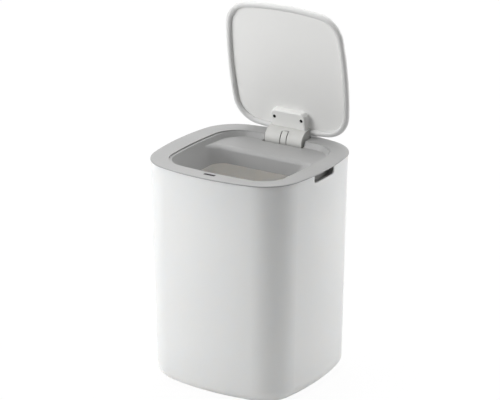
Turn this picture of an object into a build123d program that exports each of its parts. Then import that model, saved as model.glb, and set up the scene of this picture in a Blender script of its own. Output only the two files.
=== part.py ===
from build123d import *
import os
from math import cos, floor, hypot, pi, radians, sin, sqrt, tan

# Kitchen bin with a motor-driven lid, in millimetres, +Z up, front towards -Y.
# The origin is on the floor, under the middle of the bin. The lid is modelled
# shut and then swung open about its hinge, because open is the rest pose.

# Bin body
BODY_HALF_X = 165.0
BODY_HALF_Y = 160.2
BODY_SIDE_R = 515.0
BODY_FRONT_R = 445.0
BODY_CORNER_R = 80.0
BODY_HEIGHT = 437.5
BODY_TAPER = 7.8
BODY_WALL = 2.6
BODY_FLOOR = 4.0
BODY_BASE_R = 27.5

# The lid's hinge sits this far inside the back of the body, and the drive is placed from it
HINGE_INSET = 19.5
HINGE_Y = BODY_HALF_Y - HINGE_INSET

# Rubber feet
FOOT_R = 11.0
FOOT_PROUD = 1.0
FOOT_SUNK = 2.0
FOOT_INSET = 62.0

# Hand slots in the left and right walls
HAND_SLOT_LENGTH = 70.0
HAND_SLOT_DEPTH = 15.2
HAND_SLOT_CORNER_R = 6.5
HAND_SLOT_EDGE_R = 1.2
FINGER_ROOM = 13.0
FINGER_MARGIN = 4.0

# Clearances
SEAT_GAP = 0.3
SLIP_GAP = 0.2
RUNNING_GAP = 0.05
SWING_GAP = 1.3

# Collar that closes the top of the body
COLLAR_OVERHANG = 1.6
COLLAR_EDGE = 2.2
COLLAR_EDGE_R = 1.5
COLLAR_WALL = 2.2
BAND_FALL = 1.4
BAND_RIM = 5.0
BAND_UNDER = 1.6
LOCATOR_DEPTH = 4.5
LOCATOR_GAP = 0.6

# Recess in the collar, the ledge round it, and the shelf over the drive
RECESS_HALF_X = 129.7
RECESS_INSET = 34.7
RECESS_HALF_Y = BODY_HALF_Y - RECESS_INSET
RECESS_Y = -0.6
RECESS_SIDE_R = 817.0
RECESS_CORNER_R = 53.5
RECESS_STEP = 2.6
LEDGE = 5.0
SHELF_DROP = 11.6
SHELF_LIP_Y = HINGE_Y - 95.7
SHELF_LIP_R = 7.0
SHELF_LIP_STEPS = 6
SHELF_FRONT_LEAN = 6.0
CHUTE_CORNER_R = 28.0

# Funnel that guides waste into the bag
THROAT_HALF_X = 98.0
THROAT_FRONT_Y = -BODY_HALF_Y + 62.2
THROAT_BACK_Y = HINGE_Y - 28.7
THROAT_SIDE_R = 900.0
THROAT_CORNER_R = 40.0
FUNNEL_DEPTH = 42.6
FUNNEL_WALL = 3.2

# Lid
LID_HALF_X = 133.75
LID_INSET = 26.55
LID_HALF_Y = BODY_HALF_Y - LID_INSET
LID_SIDE_R = 802.0
LID_FRONT_R = 669.0
LID_CORNER_R = 56.4
LID_THICKNESS = 12.0
LID_EDGE_R = 5.9
LID_SKIN = 2.0
LID_RIB = 1.2
LID_RIB_SPACING = 80.0
LID_REST_GAP = 0.4
PANEL_THICKNESS = 2.0
PANEL_LEDGE = 2.0
PANEL_GAP = 0.25
LID_OPEN_ANGLE = 80.8

# Lid hinge: a round barrel and a curved drum face about one shaft
HINGE_Z = 430.5
DRUM_HALF_X = 41.2
DRUM_R = 24.0
DRUM_ARC = 97.0
BARREL_R = 8.8
ARM_HALF_GAP = 0.15
TONGUE_HALF_X = 6.0
TONGUE_SLIT = 1.8
TONGUE_SLIT_DEPTH = 6.0
TONGUE_TOP_ANGLE = 27.0
SLIT_ARC = 4.0
TOP_SLIT_ARC = 3.0
BRACKET_HALF_X = 38.0
BRACKET_LENGTH = 33.0
BRACKET_CORNER_R = 9.0
BRACKET_EDGE_R = 3.0
BRACKET_WALL = 2.4
SHAFT_R = 3.0
SHAFT_END = 1.0
CLIP_H = 1.2
POCKET_HALF_X = 45.0
SLOT_FRONT_GAP = 3.6
SLOT_HALF_X = 45.6
POCKET_FRONT_Y = HINGE_Y - 31.7

# Bracket screws
SCREW_HEAD_R = 3.4
SCREW_HEAD_H = 2.4
SCREW_HEAD_SUNK = 0.4
SCREW_SLOT = 0.9
SCREW_SHANK_R = 1.5
SCREW_X = 30.05
SCREW_FROM_END = 18.9

# Hinge bearings
EAR_THICKNESS = 4.0
EAR_HALF_Y = 12.0
EAR_DEPTH = 7.5
BUSH_R = 5.0
BUSH_FLANGE_R = 5.5
BUSH_FLANGE = 0.8

# Sensor in the front of the collar
SLIT_HALF_X = 12.3
SLIT_WIDTH = 8.0
SLIT_Y = -BODY_HALF_Y + 22.0
WINDOW_FLANGE = 2.2
WINDOW_FLANGE_H = 1.2
WINDOW_SUNK = 0.3
SENSOR_BOARD_HALF_X = 19.0
SENSOR_BOARD_WIDTH = 10.0
SENSOR_BOARD_H = 1.2
SENSOR_HOLDER_DEPTH = 9.0
SENSOR_LENS_R = 1.9

# Drive tray under the shelf
TRAY_HALF_X = 114.0
TRAY_FLOOR_Z = 392.6
TRAY_WALL = 2.0
TRAY_BODY_GAP = 5.5
TRAY_BACK_WALL_Y = HINGE_Y - 11.7
TRAY_BACK_WALL_Z = 414.5
BOSS_R = 3.5

# Screws up through the tray, each as X and its distance in front of the hinge
BOSSES = [(-38.0, 80.7), (104.0, 80.7), (104.0, 28.7), (-76.0, 14.7)]

# Gear train, from the lid's shaft to the motor
SECTOR_TEETH = 32
SECTOR_MODULE = 0.8
PINION_TEETH = 10
SECOND_TEETH = 22
THIRD_TEETH = 36
THIRD_MODULE = 0.5
SECTOR_TO_B_ANGLE = 240.0
B_TO_A_ANGLE = 197.7
A_TO_MOTOR_ANGLE = 193.0
SECTOR_MARGIN = 7.4
ADDENDUM = 0.75
DEDENDUM = 1.1
TOOTH_ROOT_SHARE = 0.54
TOOTH_TIP_SHARE = 0.2
AXLE_R = 1.5
GEAR_HUB_R = 2.3
SECTOR_X = (52.0, 57.0)
STAGE_B_X = (58.3, 61.8)
STAGE_A_X = (63.3, 66.3)
GEARBOX_X = (46.0, 70.0)
GEARBOX_PLATE = 2.0
GEARBOX_Y = (HINGE_Y - 44.7, HINGE_Y + 2.3)
GEARBOX_TOP_Z = 422.4
GEARBOX_BASE = 1.5
GEARBOX_SCREW_R = 1.2
POST_R = 2.6
POST_SPOTS = [(HINGE_Y - 41.5, 419.2), (HINGE_Y - 41.5, 400.0), (HINGE_Y - 1.7, 401.0)]

# Motor, with two flats
MOTOR_LENGTH = 25.0
MOTOR_WIDTH = 20.0
MOTOR_HEIGHT = 15.2
MOTOR_CAP = 3.0
MOTOR_SHAFT_R = 1.0
MOTOR_BOSS_H = 1.0
TERMINAL_H = 0.6
TERMINAL_LENGTH = 3.0

# Control board
BOARD_X = (-34.0, 40.0)
BOARD_Y = (HINGE_Y - 86.7, HINGE_Y - 50.7)
BOARD_H = 1.6
BOARD_LIFT = 5.0
BOARD_MARGIN = 0.5
STANDOFF_R = 2.5

# On the board, each as left X, distance behind the board's front edge, length, width, height
CONNECTORS = [(33.0, 12.0, 6.0, 8.0, 5.0), (33.0, 23.0, 6.0, 8.0, 5.0),
              (-33.0, 26.0, 6.0, 8.0, 5.0), (20.0, 1.0, 8.0, 6.0, 5.0)]
CHIPS = [(-12.0, 10.0, 14.0, 9.0, 1.6), (10.0, 6.0, 6.0, 5.0, 1.4), (10.0, 20.0, 6.0, 5.0, 1.4),
         (-24.0, 24.0, 5.0, 4.0, 1.2)]

# Upright on the board, each as X, distance behind the front edge, radius, height
CAPACITORS = [(-24.0, 12.0, 4.0, 11.0), (24.0, 28.0, 3.0, 9.0)]

# Batteries, four in a row
CELL_COUNT = 4
CELL_R = 7.1
CELL_LENGTH = 50.0
CELL_PITCH = 15.2
CELL_LEFT_X = -98.4
CELL_FRONT_Y = HINGE_Y - 80.3
CELL_LIFT = 1.0
BOX_WALL = 1.2
CONTACT_H = 0.6
CONTACT_HALF = 5.0

# Battery door in the tray's floor
DOOR_THICKNESS = 1.8
DOOR_EAR = 2.0
DOOR_PIN_R = 1.2
DOOR_PIN_LIFT = 3.4
DOOR_PIN_REACH = 2.2
DOOR_RIB = 2.4
DOOR_TAIL = 2.0
GRIP_INSET = 20.0
GRIP_WIDTH = 2.0

# Slide switch in the tray's floor
SWITCH_X = 74.0
SWITCH_Y = HINGE_Y - 64.7
SWITCH_LENGTH = 16.0
SWITCH_WIDTH = 8.0
SWITCH_HEIGHT = 7.0
SLIDER_LENGTH = 5.0
SLIDER_WIDTH = 3.0
SLIDER_PROUD = 2.0
SWITCH_TRAVEL = 4.0

# Wires
SENSOR_CABLE_R = 1.4
LEAD_R = 0.8
LEAD_SPACING = 3.0
WIRE_LIFT = 4.0
WIRE_GAP = 0.25
WIRE_SKEW = 1.0
RUN_OUT = 18.0
RUN_IN = 16.0
CABLE_START = 8.0
CABLE_END_LIFT = 4.5
CABLE_IN_Y = HINGE_Y - 52.7
CABLE_IN_Z = 419.0
CABLE_Z = 430.5
MOTOR_LEAD_DROP = 14.0
BATTERY_LEAD_FROM = 23.0
SWITCH_LEAD_OUT = 6.0

# Corners of the sensor cable: round the front right corner as X and distance behind the body's front,
# then along the side and into the tray as X, distance in front of the hinge, and Z
CABLE_FRONT = [(70.0, 25.0), (108.0, 38.2), (131.0, 62.2), (140.0, 102.2), (141.0, 152.2)]
CABLE_BACK = [(140.0, 102.7, 428.5), (134.0, 74.7, 422.5), (120.0, 54.7, 420.0), (98.0, 51.7, 418.0),
              (74.0, 52.7, 413.0)]

# Corners of the motor leads, each as X and distance in front of the hinge
MOTOR_LEAD_CORNERS = [(86.0, 60.7), (64.0, 69.7)]

# How far a cut runs on past the face that it goes through
CUT = 1.0

# Places worked out from the sizes above
BODY_TOP_Z = BODY_HEIGHT
SEAM_Z = BODY_TOP_Z + SEAT_GAP
RIM_Z = SEAM_Z + COLLAR_EDGE
BAND_Z = RIM_Z - BAND_FALL
LEDGE_Z = BAND_Z - RECESS_STEP
SHELF_Z = BAND_Z - SHELF_DROP
CEILING_Z = SHELF_Z - COLLAR_WALL
THROAT_Z = BAND_Z - FUNNEL_DEPTH
UNDER_Z = SEAM_Z - BAND_UNDER
LOCATOR_Z = SEAM_Z - LOCATOR_DEPTH
RECESS_FRONT_Y = RECESS_Y - RECESS_HALF_Y
RECESS_BACK_Y = RECESS_Y + RECESS_HALF_Y
PANEL_Z = BAND_Z + LID_REST_GAP + LID_THICKNESS / 2
LID_Y = RECESS_Y
LID_BACK_Y = LID_Y + LID_HALF_Y
DRUM_FRONT_Y = HINGE_Y - DRUM_R
BRACKET_Z = HINGE_Z + 0.3
BRACKET_BACK_Y = DRUM_FRONT_Y - SLIP_GAP
BRACKET_FRONT_Y = BRACKET_BACK_Y - BRACKET_LENGTH
SCREW_Y = BRACKET_BACK_Y - SCREW_FROM_END
EAR_X = POCKET_HALF_X + 1.0
TRAY_TOP_Z = CEILING_Z - SLIP_GAP
TRAY_INSIDE_Z = TRAY_FLOOR_Z + TRAY_WALL
TRAY_FRONT_Y = SHELF_LIP_Y + COLLAR_WALL + SLIP_GAP
BOARD_Z = TRAY_INSIDE_Z + BOARD_LIFT
CELL_Z = TRAY_FLOOR_Z + DOOR_THICKNESS + CELL_LIFT + CELL_R
BOX_LEFT_X = CELL_LEFT_X - CELL_R - BOX_WALL - SLIP_GAP
BOX_RIGHT_X = CELL_LEFT_X + (CELL_COUNT - 1) * CELL_PITCH + CELL_R + BOX_WALL + SLIP_GAP
BOX_FRONT_Y = CELL_FRONT_Y - CONTACT_H - BOX_WALL
BOX_BACK_Y = CELL_FRONT_Y + CELL_LENGTH + CONTACT_H + BOX_WALL
DOOR_PIN_Y = BOX_BACK_Y + DOOR_TAIL + DOOR_PIN_R
DOOR_PIN_Z = TRAY_FLOOR_Z + DOOR_PIN_LIFT


def gear_radius(teeth, module):
    return teeth * module / 2


def step_from(point, angle, distance):
    return (point[0] + distance * cos(radians(angle)), point[1] + distance * sin(radians(angle)))


BOSS_SPOTS = [(x, HINGE_Y - distance) for x, distance in BOSSES]
HINGE = (HINGE_Y, HINGE_Z)
SECTOR_R = gear_radius(SECTOR_TEETH, SECTOR_MODULE)
PINION_R = gear_radius(PINION_TEETH, SECTOR_MODULE)
SECOND_R = gear_radius(SECOND_TEETH, SECTOR_MODULE)
THIRD_R = gear_radius(THIRD_TEETH, THIRD_MODULE)
MOTOR_PINION_R = gear_radius(PINION_TEETH, THIRD_MODULE)
GEAR_B = step_from(HINGE, SECTOR_TO_B_ANGLE, SECTOR_R + PINION_R)
GEAR_A = step_from(GEAR_B, B_TO_A_ANGLE, SECOND_R + PINION_R)
MOTOR = step_from(GEAR_A, A_TO_MOTOR_ANGLE, THIRD_R + MOTOR_PINION_R)


# Shared shapes

def rounded_outline(half_x, half_y, side_r, front_r, corner_r, z, y=0.0):
    """A square with bowed sides and round corners: eight arcs, each tangent to the next."""
    side_x = half_x - side_r
    front_y = half_y - front_r
    side_to_corner = side_r - corner_r
    front_to_corner = front_r - corner_r
    span = hypot(side_x, front_y)
    along = (side_to_corner ** 2 - front_to_corner ** 2 + span ** 2) / (2 * span)
    across = sqrt(side_to_corner ** 2 - along ** 2)
    corner_x = side_x - along * side_x / span - across * front_y / span
    corner_y = along * front_y / span - across * side_x / span
    end_x = side_x + (corner_x - side_x) * side_r / side_to_corner
    end_y = corner_y * side_r / side_to_corner
    turn_x = corner_x * front_r / front_to_corner
    turn_y = front_y + (corner_y - front_y) * front_r / front_to_corner
    mid_x = (end_x + turn_x) / 2 - corner_x
    mid_y = (end_y + turn_y) / 2 - corner_y
    reach = corner_r / hypot(mid_x, mid_y)
    mid_x = corner_x + mid_x * reach
    mid_y = corner_y + mid_y * reach
    edges = []
    for sx, sy in ((1, 1), (-1, 1), (-1, -1), (1, -1)):
        corner = [(end_x, end_y), (mid_x, mid_y), (turn_x, turn_y)]
        if sx * sy < 0:
            corner.reverse()
        edges.append(ThreePointArc(*[(sx * px, y + sy * py, z) for px, py in corner]))
    edges.append(ThreePointArc((end_x, y - end_y, z), (half_x, y, z), (end_x, y + end_y, z)))
    edges.append(ThreePointArc((-end_x, y + end_y, z), (-half_x, y, z), (-end_x, y - end_y, z)))
    edges.append(ThreePointArc((turn_x, y + turn_y, z), (0, y + half_y, z), (-turn_x, y + turn_y, z)))
    edges.append(ThreePointArc((-turn_x, y - turn_y, z), (0, y - half_y, z), (turn_x, y - turn_y, z)))
    return make_face(edges)


def body_outline(z, grow=0.0):
    lean = BODY_TAPER * (BODY_TOP_Z - z) / (BODY_TOP_Z - FOOT_PROUD)
    out = grow - lean
    return rounded_outline(BODY_HALF_X + out, BODY_HALF_Y + out, BODY_SIDE_R + out, BODY_FRONT_R + out,
                           BODY_CORNER_R + out, z)


def recess_outline(z, grow=0.0):
    return rounded_outline(RECESS_HALF_X + grow, RECESS_HALF_Y + grow, RECESS_SIDE_R + grow,
                           RECESS_SIDE_R + grow, RECESS_CORNER_R + grow, z, RECESS_Y)


def lid_outline(z, grow=0.0):
    return rounded_outline(LID_HALF_X + grow, LID_HALF_Y + grow, LID_SIDE_R + grow, LID_FRONT_R + grow,
                           LID_CORNER_R + grow, z, LID_Y)


def funnel_outline(z, grow=0.0):
    """The funnel narrows steadily from the recess's ledge down to the throat."""
    share = (LEDGE_Z - z) / (LEDGE_Z - THROAT_Z)
    mouth_front = RECESS_FRONT_Y + LEDGE
    front = mouth_front + share * (THROAT_FRONT_Y - mouth_front)
    back = RECESS_BACK_Y + share * (THROAT_BACK_Y - RECESS_BACK_Y)
    half_x = RECESS_HALF_X - LEDGE + share * (THROAT_HALF_X - RECESS_HALF_X + LEDGE)
    side_r = RECESS_SIDE_R - LEDGE + share * (THROAT_SIDE_R - RECESS_SIDE_R + LEDGE)
    corner_r = RECESS_CORNER_R - LEDGE + share * (THROAT_CORNER_R - RECESS_CORNER_R + LEDGE)
    return rounded_outline(half_x + grow, (back - front) / 2 + grow, side_r + grow, side_r + grow,
                           corner_r + grow, z, (back + front) / 2)


def prism(face, height):
    return extrude(face, height, dir=(0, 0, 1))


def block(x, y, z):
    """A box from three (low, high) pairs."""
    low, high = (x[0], y[0], z[0]), (x[1], y[1], z[1])
    size = [b - a for a, b in zip(low, high)]
    return Pos(*low) * Box(*size, align=(Align.MIN, Align.MIN, Align.MIN))


def rod_x(point, x, radius):
    """A round rod along X, at a (y, z) point."""
    turned = Rot(0, 90, 0) * Cylinder(radius, x[1] - x[0], align=(Align.CENTER, Align.CENTER, Align.MIN))
    return Pos(x[0], point[0], point[1]) * turned


def rod_z(x, y, z, radius):
    return Pos(x, y, z[0]) * Cylinder(radius, z[1] - z[0], align=(Align.CENTER, Align.CENTER, Align.MIN))


def side_profile(points, x):
    """A prism along X from an outline of (y, z) points."""
    face = make_face(Polyline([(x[0], py, pz) for py, pz in points], close=True))
    return extrude(face, x[1] - x[0], dir=(1, 0, 0))


def swung_open(piece):
    return piece.rotate(Axis((0, HINGE_Y, HINGE_Z), (1, 0, 0)), -LID_OPEN_ANGLE)


def group(pieces):
    return Compound(children=[piece for piece in pieces])


# Bin body

def foot_spots():
    return [(sx * (BODY_HALF_X - FOOT_INSET), sy * (BODY_HALF_Y - FOOT_INSET))
            for sx in (-1, 1) for sy in (-1, 1)]


def hand_slot(side, grow=0.0):
    """A notch down from the body's top edge, with round lower corners."""
    half = HAND_SLOT_LENGTH / 2 + grow
    low = BODY_TOP_Z - HAND_SLOT_DEPTH - grow
    slot = block((0, BODY_WALL * 6), (-half, half), (low, BODY_TOP_Z + HAND_SLOT_DEPTH))
    lower = slot.edges().filter_by(Axis.X).sort_by(Axis.Z)[:2]
    slot = fillet(lower, HAND_SLOT_CORNER_R + grow)
    reach = BODY_HALF_X - BODY_WALL * 4 if side > 0 else -BODY_HALF_X - BODY_WALL * 2
    return Pos(reach, 0, 0) * slot


def slot_rim(body, side):
    """The outer edges of a hand slot, below the body's top edge."""
    low = BODY_TOP_Z - HAND_SLOT_DEPTH - SEAT_GAP
    rim = []
    for edge in body.edges():
        middle = edge.center()
        outside = side * middle.X > BODY_HALF_X - BODY_WALL * 0.75
        if outside and abs(middle.Y) < HAND_SLOT_LENGTH * 0.51 and low < middle.Z < BODY_TOP_Z - SEAT_GAP:
            rim.append(edge)
    return rim


def make_outer_body():
    outside = loft([body_outline(FOOT_PROUD), body_outline(BODY_TOP_Z)], ruled=True)
    outside = fillet(outside.faces().sort_by(Axis.Z)[0].edges(), BODY_BASE_R)
    floor_z = FOOT_PROUD + BODY_FLOOR
    over = BODY_TOP_Z + BODY_WALL
    inside = loft([body_outline(floor_z, -BODY_WALL), body_outline(over, -BODY_WALL)], ruled=True)
    inside = fillet(inside.faces().sort_by(Axis.Z)[0].edges(), BODY_BASE_R - BODY_WALL)
    body = outside - inside
    for side in (-1, 1):
        body -= hand_slot(side)
        body = fillet(slot_rim(body, side), HAND_SLOT_EDGE_R)
    for x, y in foot_spots():
        body -= rod_z(x, y, (0, FOOT_PROUD + FOOT_SUNK), FOOT_R + SLIP_GAP)
    return body


def make_rubber_feet():
    feet = []
    for x, y in foot_spots():
        foot = rod_z(x, y, (0, FOOT_PROUD + FOOT_SUNK), FOOT_R)
        feet.append(chamfer(foot.edges().sort_by(Axis.Z)[0], FOOT_PROUD / 2))
    return group(feet)


# Collar

def band_cut():
    """Takes the collar's top band down towards the recess, inside a narrow flat rim."""
    rise = BAND_FALL * 0.3
    inner = recess_outline(BAND_Z)
    reach = COLLAR_OVERHANG - BAND_RIM
    reach += (BODY_HALF_X - RECESS_HALF_X + reach) * rise / BAND_FALL
    outer = rounded_outline(BODY_HALF_X + reach, BODY_HALF_Y + reach, BODY_SIDE_R + reach,
                            BODY_FRONT_R + reach, BODY_CORNER_R + reach, RIM_Z + rise)
    return loft([inner, outer], ruled=True)


def chute_outline(z, lip, grow):
    """The funnel's outline with a straight back, in front of the shelf, and round corners to it."""
    share = (SHELF_Z - z) / (SHELF_Z - THROAT_Z)
    back = SHELF_LIP_Y - SHELF_FRONT_LEAN * share + lip + grow
    front_part = Rectangle(BODY_HALF_X * 2, BODY_HALF_Y * 3, align=(Align.CENTER, Align.MAX))
    face = funnel_outline(z, grow) & Pos(0, back, z) * front_part
    return fillet(face.vertices().sort_by(Axis.Y)[-2:], CHUTE_CORNER_R + grow)


def chute(grow):
    """From the shelf down to the throat, flared at the top into the shelf's round lip."""
    outlines = []
    for step in range(SHELF_LIP_STEPS + 1):
        turn = pi / 2 * step / SHELF_LIP_STEPS
        z = SHELF_Z - SHELF_LIP_R * (1 - cos(turn))
        outlines.append(chute_outline(z, SHELF_LIP_R * (1 - sin(turn)), grow))
    outlines.append(chute_outline(THROAT_Z - COLLAR_WALL, 0, grow))
    return loft(outlines, ruled=True)


def make_collar():
    plate = prism(rounded_outline(BODY_HALF_X + COLLAR_OVERHANG, BODY_HALF_Y + COLLAR_OVERHANG,
                                  BODY_SIDE_R + COLLAR_OVERHANG, BODY_FRONT_R + COLLAR_OVERHANG,
                                  BODY_CORNER_R + COLLAR_OVERHANG, SEAM_Z), COLLAR_EDGE)
    plate = fillet(plate.faces().sort_by(Axis.Z)[-1].edges(), COLLAR_EDGE_R)
    plate -= band_cut()
    locator_grow = -BODY_WALL - LOCATOR_GAP
    locator = prism(body_outline(LOCATOR_Z, locator_grow), SEAM_Z - LOCATOR_Z)
    locator -= prism(body_outline(LOCATOR_Z, locator_grow - COLLAR_WALL), UNDER_Z - LOCATOR_Z)
    for side in (-1, 1):
        locator -= hand_slot(side, COLLAR_WALL * 2)
    tub = prism(recess_outline(LEDGE_Z - COLLAR_WALL, COLLAR_WALL), SEAM_Z - LEDGE_Z + COLLAR_WALL)
    funnel = loft([funnel_outline(THROAT_Z, FUNNEL_WALL), funnel_outline(LEDGE_Z, FUNNEL_WALL)],
                  ruled=True)
    over = COLLAR_WALL
    bowl_space = loft([funnel_outline(SHELF_Z), funnel_outline(LEDGE_Z + over)], ruled=True)
    recess_space = prism(recess_outline(LEDGE_Z), RIM_Z - LEDGE_Z + over)
    waste_space = recess_space + bowl_space
    drive_space = block((-BODY_HALF_X, BODY_HALF_X), (0, BODY_HALF_Y), (THROAT_Z - over, CEILING_Z))
    collar = plate + locator + tub + funnel - waste_space
    collar -= chute(0)
    collar -= drive_space - chute(COLLAR_WALL)
    collar -= block((-POCKET_HALF_X, POCKET_HALF_X), (POCKET_FRONT_Y, RECESS_BACK_Y + COLLAR_WALL * 2),
                    (SHELF_Z, RIM_Z + over))
    collar -= hinge_slot()
    for side in (-1, 1):
        collar += hinge_ear(side)
    collar -= sector_pocket()
    collar -= block((-SLIT_HALF_X, SLIT_HALF_X), (SLIT_Y - SLIT_WIDTH / 2, SLIT_Y + SLIT_WIDTH / 2),
                    (UNDER_Z - over, RIM_Z + over))
    collar -= window_seat(SLIP_GAP)
    for x, y in BOSS_SPOTS:
        collar += screw_boss(x, y) - waste_space
    for side in (-1, 1):
        collar += finger_cup(side)
    return collar


def finger_cup(side):
    """A pocket behind a hand slot that keeps fingers and bag apart."""
    back = BODY_HALF_X - BODY_WALL - FINGER_ROOM
    half_y = HAND_SLOT_LENGTH / 2 + FINGER_MARGIN
    low = BODY_TOP_Z - HAND_SLOT_DEPTH - FINGER_MARGIN
    room_x = sorted((side * back, side * BODY_HALF_X))
    shell_x = sorted((side * (back - COLLAR_WALL), side * BODY_HALF_X))
    cup = block(shell_x, (-half_y - COLLAR_WALL, half_y + COLLAR_WALL), (low - COLLAR_WALL, SEAM_Z))
    cup -= block(room_x, (-half_y, half_y), (low, SEAM_Z))
    return cup & prism(body_outline(low - COLLAR_WALL, -BODY_WALL - LOCATOR_GAP), SEAM_Z)


def hinge_slot():
    back = HINGE_Y + BARREL_R + SWING_GAP
    floor_slot = block((-SLOT_HALF_X, SLOT_HALF_X), (DRUM_FRONT_Y - SLOT_FRONT_GAP, back),
                       (CEILING_Z - COLLAR_WALL, RIM_Z + COLLAR_WALL))
    band_slot = block((-POCKET_HALF_X, POCKET_HALF_X), (RECESS_BACK_Y - LEDGE, back),
                      (SHELF_Z, RIM_Z + COLLAR_WALL))
    return floor_slot + band_slot


def ear_x(side):
    near, far = side * EAR_X, side * (EAR_X + EAR_THICKNESS)
    return (min(near, far), max(near, far))


def hinge_ear(side):
    """A rib that hangs from the band and holds one bush of the lid's shaft."""
    ear = block(ear_x(side), (HINGE_Y - EAR_HALF_Y, HINGE_Y + BARREL_R), (HINGE_Z - EAR_DEPTH, SEAM_Z))
    bore_x = (side * EAR_X - EAR_THICKNESS * 2, side * EAR_X + EAR_THICKNESS * 2)
    return ear - rod_x(HINGE, bore_x, BUSH_R)


def sector_pocket():
    """Room over the lid's gear in the underside of the band."""
    reach = SECTOR_R + SECTOR_MODULE * ADDENDUM
    return block((SECTOR_X[0] - SLIP_GAP * 2, SECTOR_X[1] + SLIP_GAP * 2),
                 (HINGE_Y - reach, HINGE_Y + reach), (UNDER_Z - COLLAR_WALL, SEAM_Z))


def screw_boss(x, y):
    pillar = rod_z(x, y, (TRAY_INSIDE_Z + SLIP_GAP, SEAM_Z), BOSS_R)
    return pillar - rod_z(x, y, (TRAY_INSIDE_Z, TRAY_INSIDE_Z + SCREW_HEAD_H * 4), SCREW_SHANK_R)


# Sensor

def window_seat(grow):
    half_width = SLIT_WIDTH / 2 + WINDOW_FLANGE + grow
    half_length = SLIT_HALF_X + WINDOW_FLANGE + grow
    return block((-half_length, half_length), (SLIT_Y - half_width, SLIT_Y + half_width),
                 (UNDER_Z - grow, UNDER_Z + WINDOW_FLANGE_H + grow))


def band_top(y):
    """Height of the collar's band at a place on the front's centre line."""
    rim_y = BODY_HALF_Y + COLLAR_OVERHANG - BAND_RIM
    return BAND_Z + BAND_FALL * (-RECESS_FRONT_Y + y) / (-RECESS_FRONT_Y - rim_y)


def make_sensor_window():
    half = SLIT_WIDTH / 2 - SLIP_GAP
    lens = block((-SLIT_HALF_X + SLIP_GAP, SLIT_HALF_X - SLIP_GAP), (SLIT_Y - half, SLIT_Y + half),
                 (UNDER_Z, band_top(SLIT_Y) - WINDOW_SUNK))
    lens = fillet(lens.edges().filter_by(Axis.Z), half * 0.6)
    return lens + window_seat(0)


def sensor_board_z():
    return UNDER_Z - SENSOR_HOLDER_DEPTH + COLLAR_WALL


def make_sensor_holder():
    """A cup under the band that carries the sensor's board."""
    half_x = SENSOR_BOARD_HALF_X + BOX_WALL + SLIP_GAP
    half_y = SENSOR_BOARD_WIDTH / 2 + BOX_WALL + SLIP_GAP
    low = UNDER_Z - SENSOR_HOLDER_DEPTH
    cup = block((-half_x, half_x), (SLIT_Y - half_y, SLIT_Y + half_y), (low, UNDER_Z))
    room = block((-half_x + BOX_WALL, half_x - BOX_WALL),
                 (SLIT_Y - half_y + BOX_WALL, SLIT_Y + half_y - BOX_WALL),
                 (sensor_board_z(), SEAM_Z))
    cable_way = block((half_x - BOX_WALL * 2, half_x + BOX_WALL),
                      (SLIT_Y - SENSOR_CABLE_R * 1.5, SLIT_Y + SENSOR_CABLE_R * 1.5),
                      (sensor_board_z() + SENSOR_BOARD_H, SEAM_Z))
    return cup - room - cable_way


def make_sensor_board():
    half_y = SENSOR_BOARD_WIDTH / 2
    return block((-SENSOR_BOARD_HALF_X, SENSOR_BOARD_HALF_X), (SLIT_Y - half_y, SLIT_Y + half_y),
                 (sensor_board_z(), sensor_board_z() + SENSOR_BOARD_H))


def make_sensor_leds():
    """An infrared lamp and its receiver, both under the window."""
    foot = sensor_board_z() + SENSOR_BOARD_H
    leds = []
    for side in (-1, 1):
        x = side * SLIT_HALF_X / 2
        dome = UNDER_Z - SENSOR_LENS_R - SLIP_GAP
        stem = rod_z(x, SLIT_Y, (foot, dome), SENSOR_LENS_R)
        leds.append(stem + Pos(x, SLIT_Y, dome) * Sphere(SENSOR_LENS_R))
    return group(leds)


# Lid, modelled shut

def make_lid_shell():
    low = PANEL_Z - LID_THICKNESS / 2
    top = PANEL_Z + LID_THICKNESS / 2
    slab = prism(lid_outline(low), LID_THICKNESS)
    faces = slab.faces().sort_by(Axis.Z)
    slab = fillet(faces[0].edges() + faces[-1].edges(), LID_EDGE_R)
    room = prism(lid_outline(low, -LID_THICKNESS), PANEL_THICKNESS + LID_THICKNESS / 2)
    shell = slab - room
    mouth = [edge for edge in shell.edges() if abs(edge.center().Z - low) < 0.05
             and abs(edge.center().X) < LID_HALF_X - LID_EDGE_R * 1.5
             and abs(edge.center().Y - LID_Y) < LID_HALF_Y - LID_EDGE_R * 1.5]
    shell = fillet(mouth, LID_EDGE_R - 0.1)
    hollow = prism(lid_outline(PANEL_Z, -LID_THICKNESS - PANEL_LEDGE), LID_THICKNESS / 2 - LID_SKIN)
    for x in (-SCREW_X, SCREW_X):
        hollow -= rod_z(x, SCREW_Y, (PANEL_Z + PANEL_THICKNESS, top), BOSS_R)
    rib_z = (PANEL_Z + PANEL_THICKNESS + SLIP_GAP, top)
    for place in (-LID_RIB_SPACING, 0, LID_RIB_SPACING):
        rib = (place - LID_RIB / 2, place + LID_RIB / 2)
        hollow -= block(rib, (-LID_HALF_Y, LID_HALF_Y), rib_z)
        hollow -= block((-LID_HALF_X, LID_HALF_X), rib, rib_z)
    shell -= hollow
    for x in (-SCREW_X, SCREW_X):
        shell -= rod_z(x, SCREW_Y, (PANEL_Z, top - LID_SKIN / 2), SCREW_SHANK_R)
    return shell


def make_lid_inner_panel():
    panel = prism(lid_outline(PANEL_Z, -LID_THICKNESS - PANEL_GAP), PANEL_THICKNESS)
    for x in (-SCREW_X, SCREW_X):
        panel -= rod_z(x, SCREW_Y, (PANEL_Z - PANEL_THICKNESS, PANEL_Z + PANEL_THICKNESS * 2),
                       SCREW_SHANK_R + RUNNING_GAP)
    return panel


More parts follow.
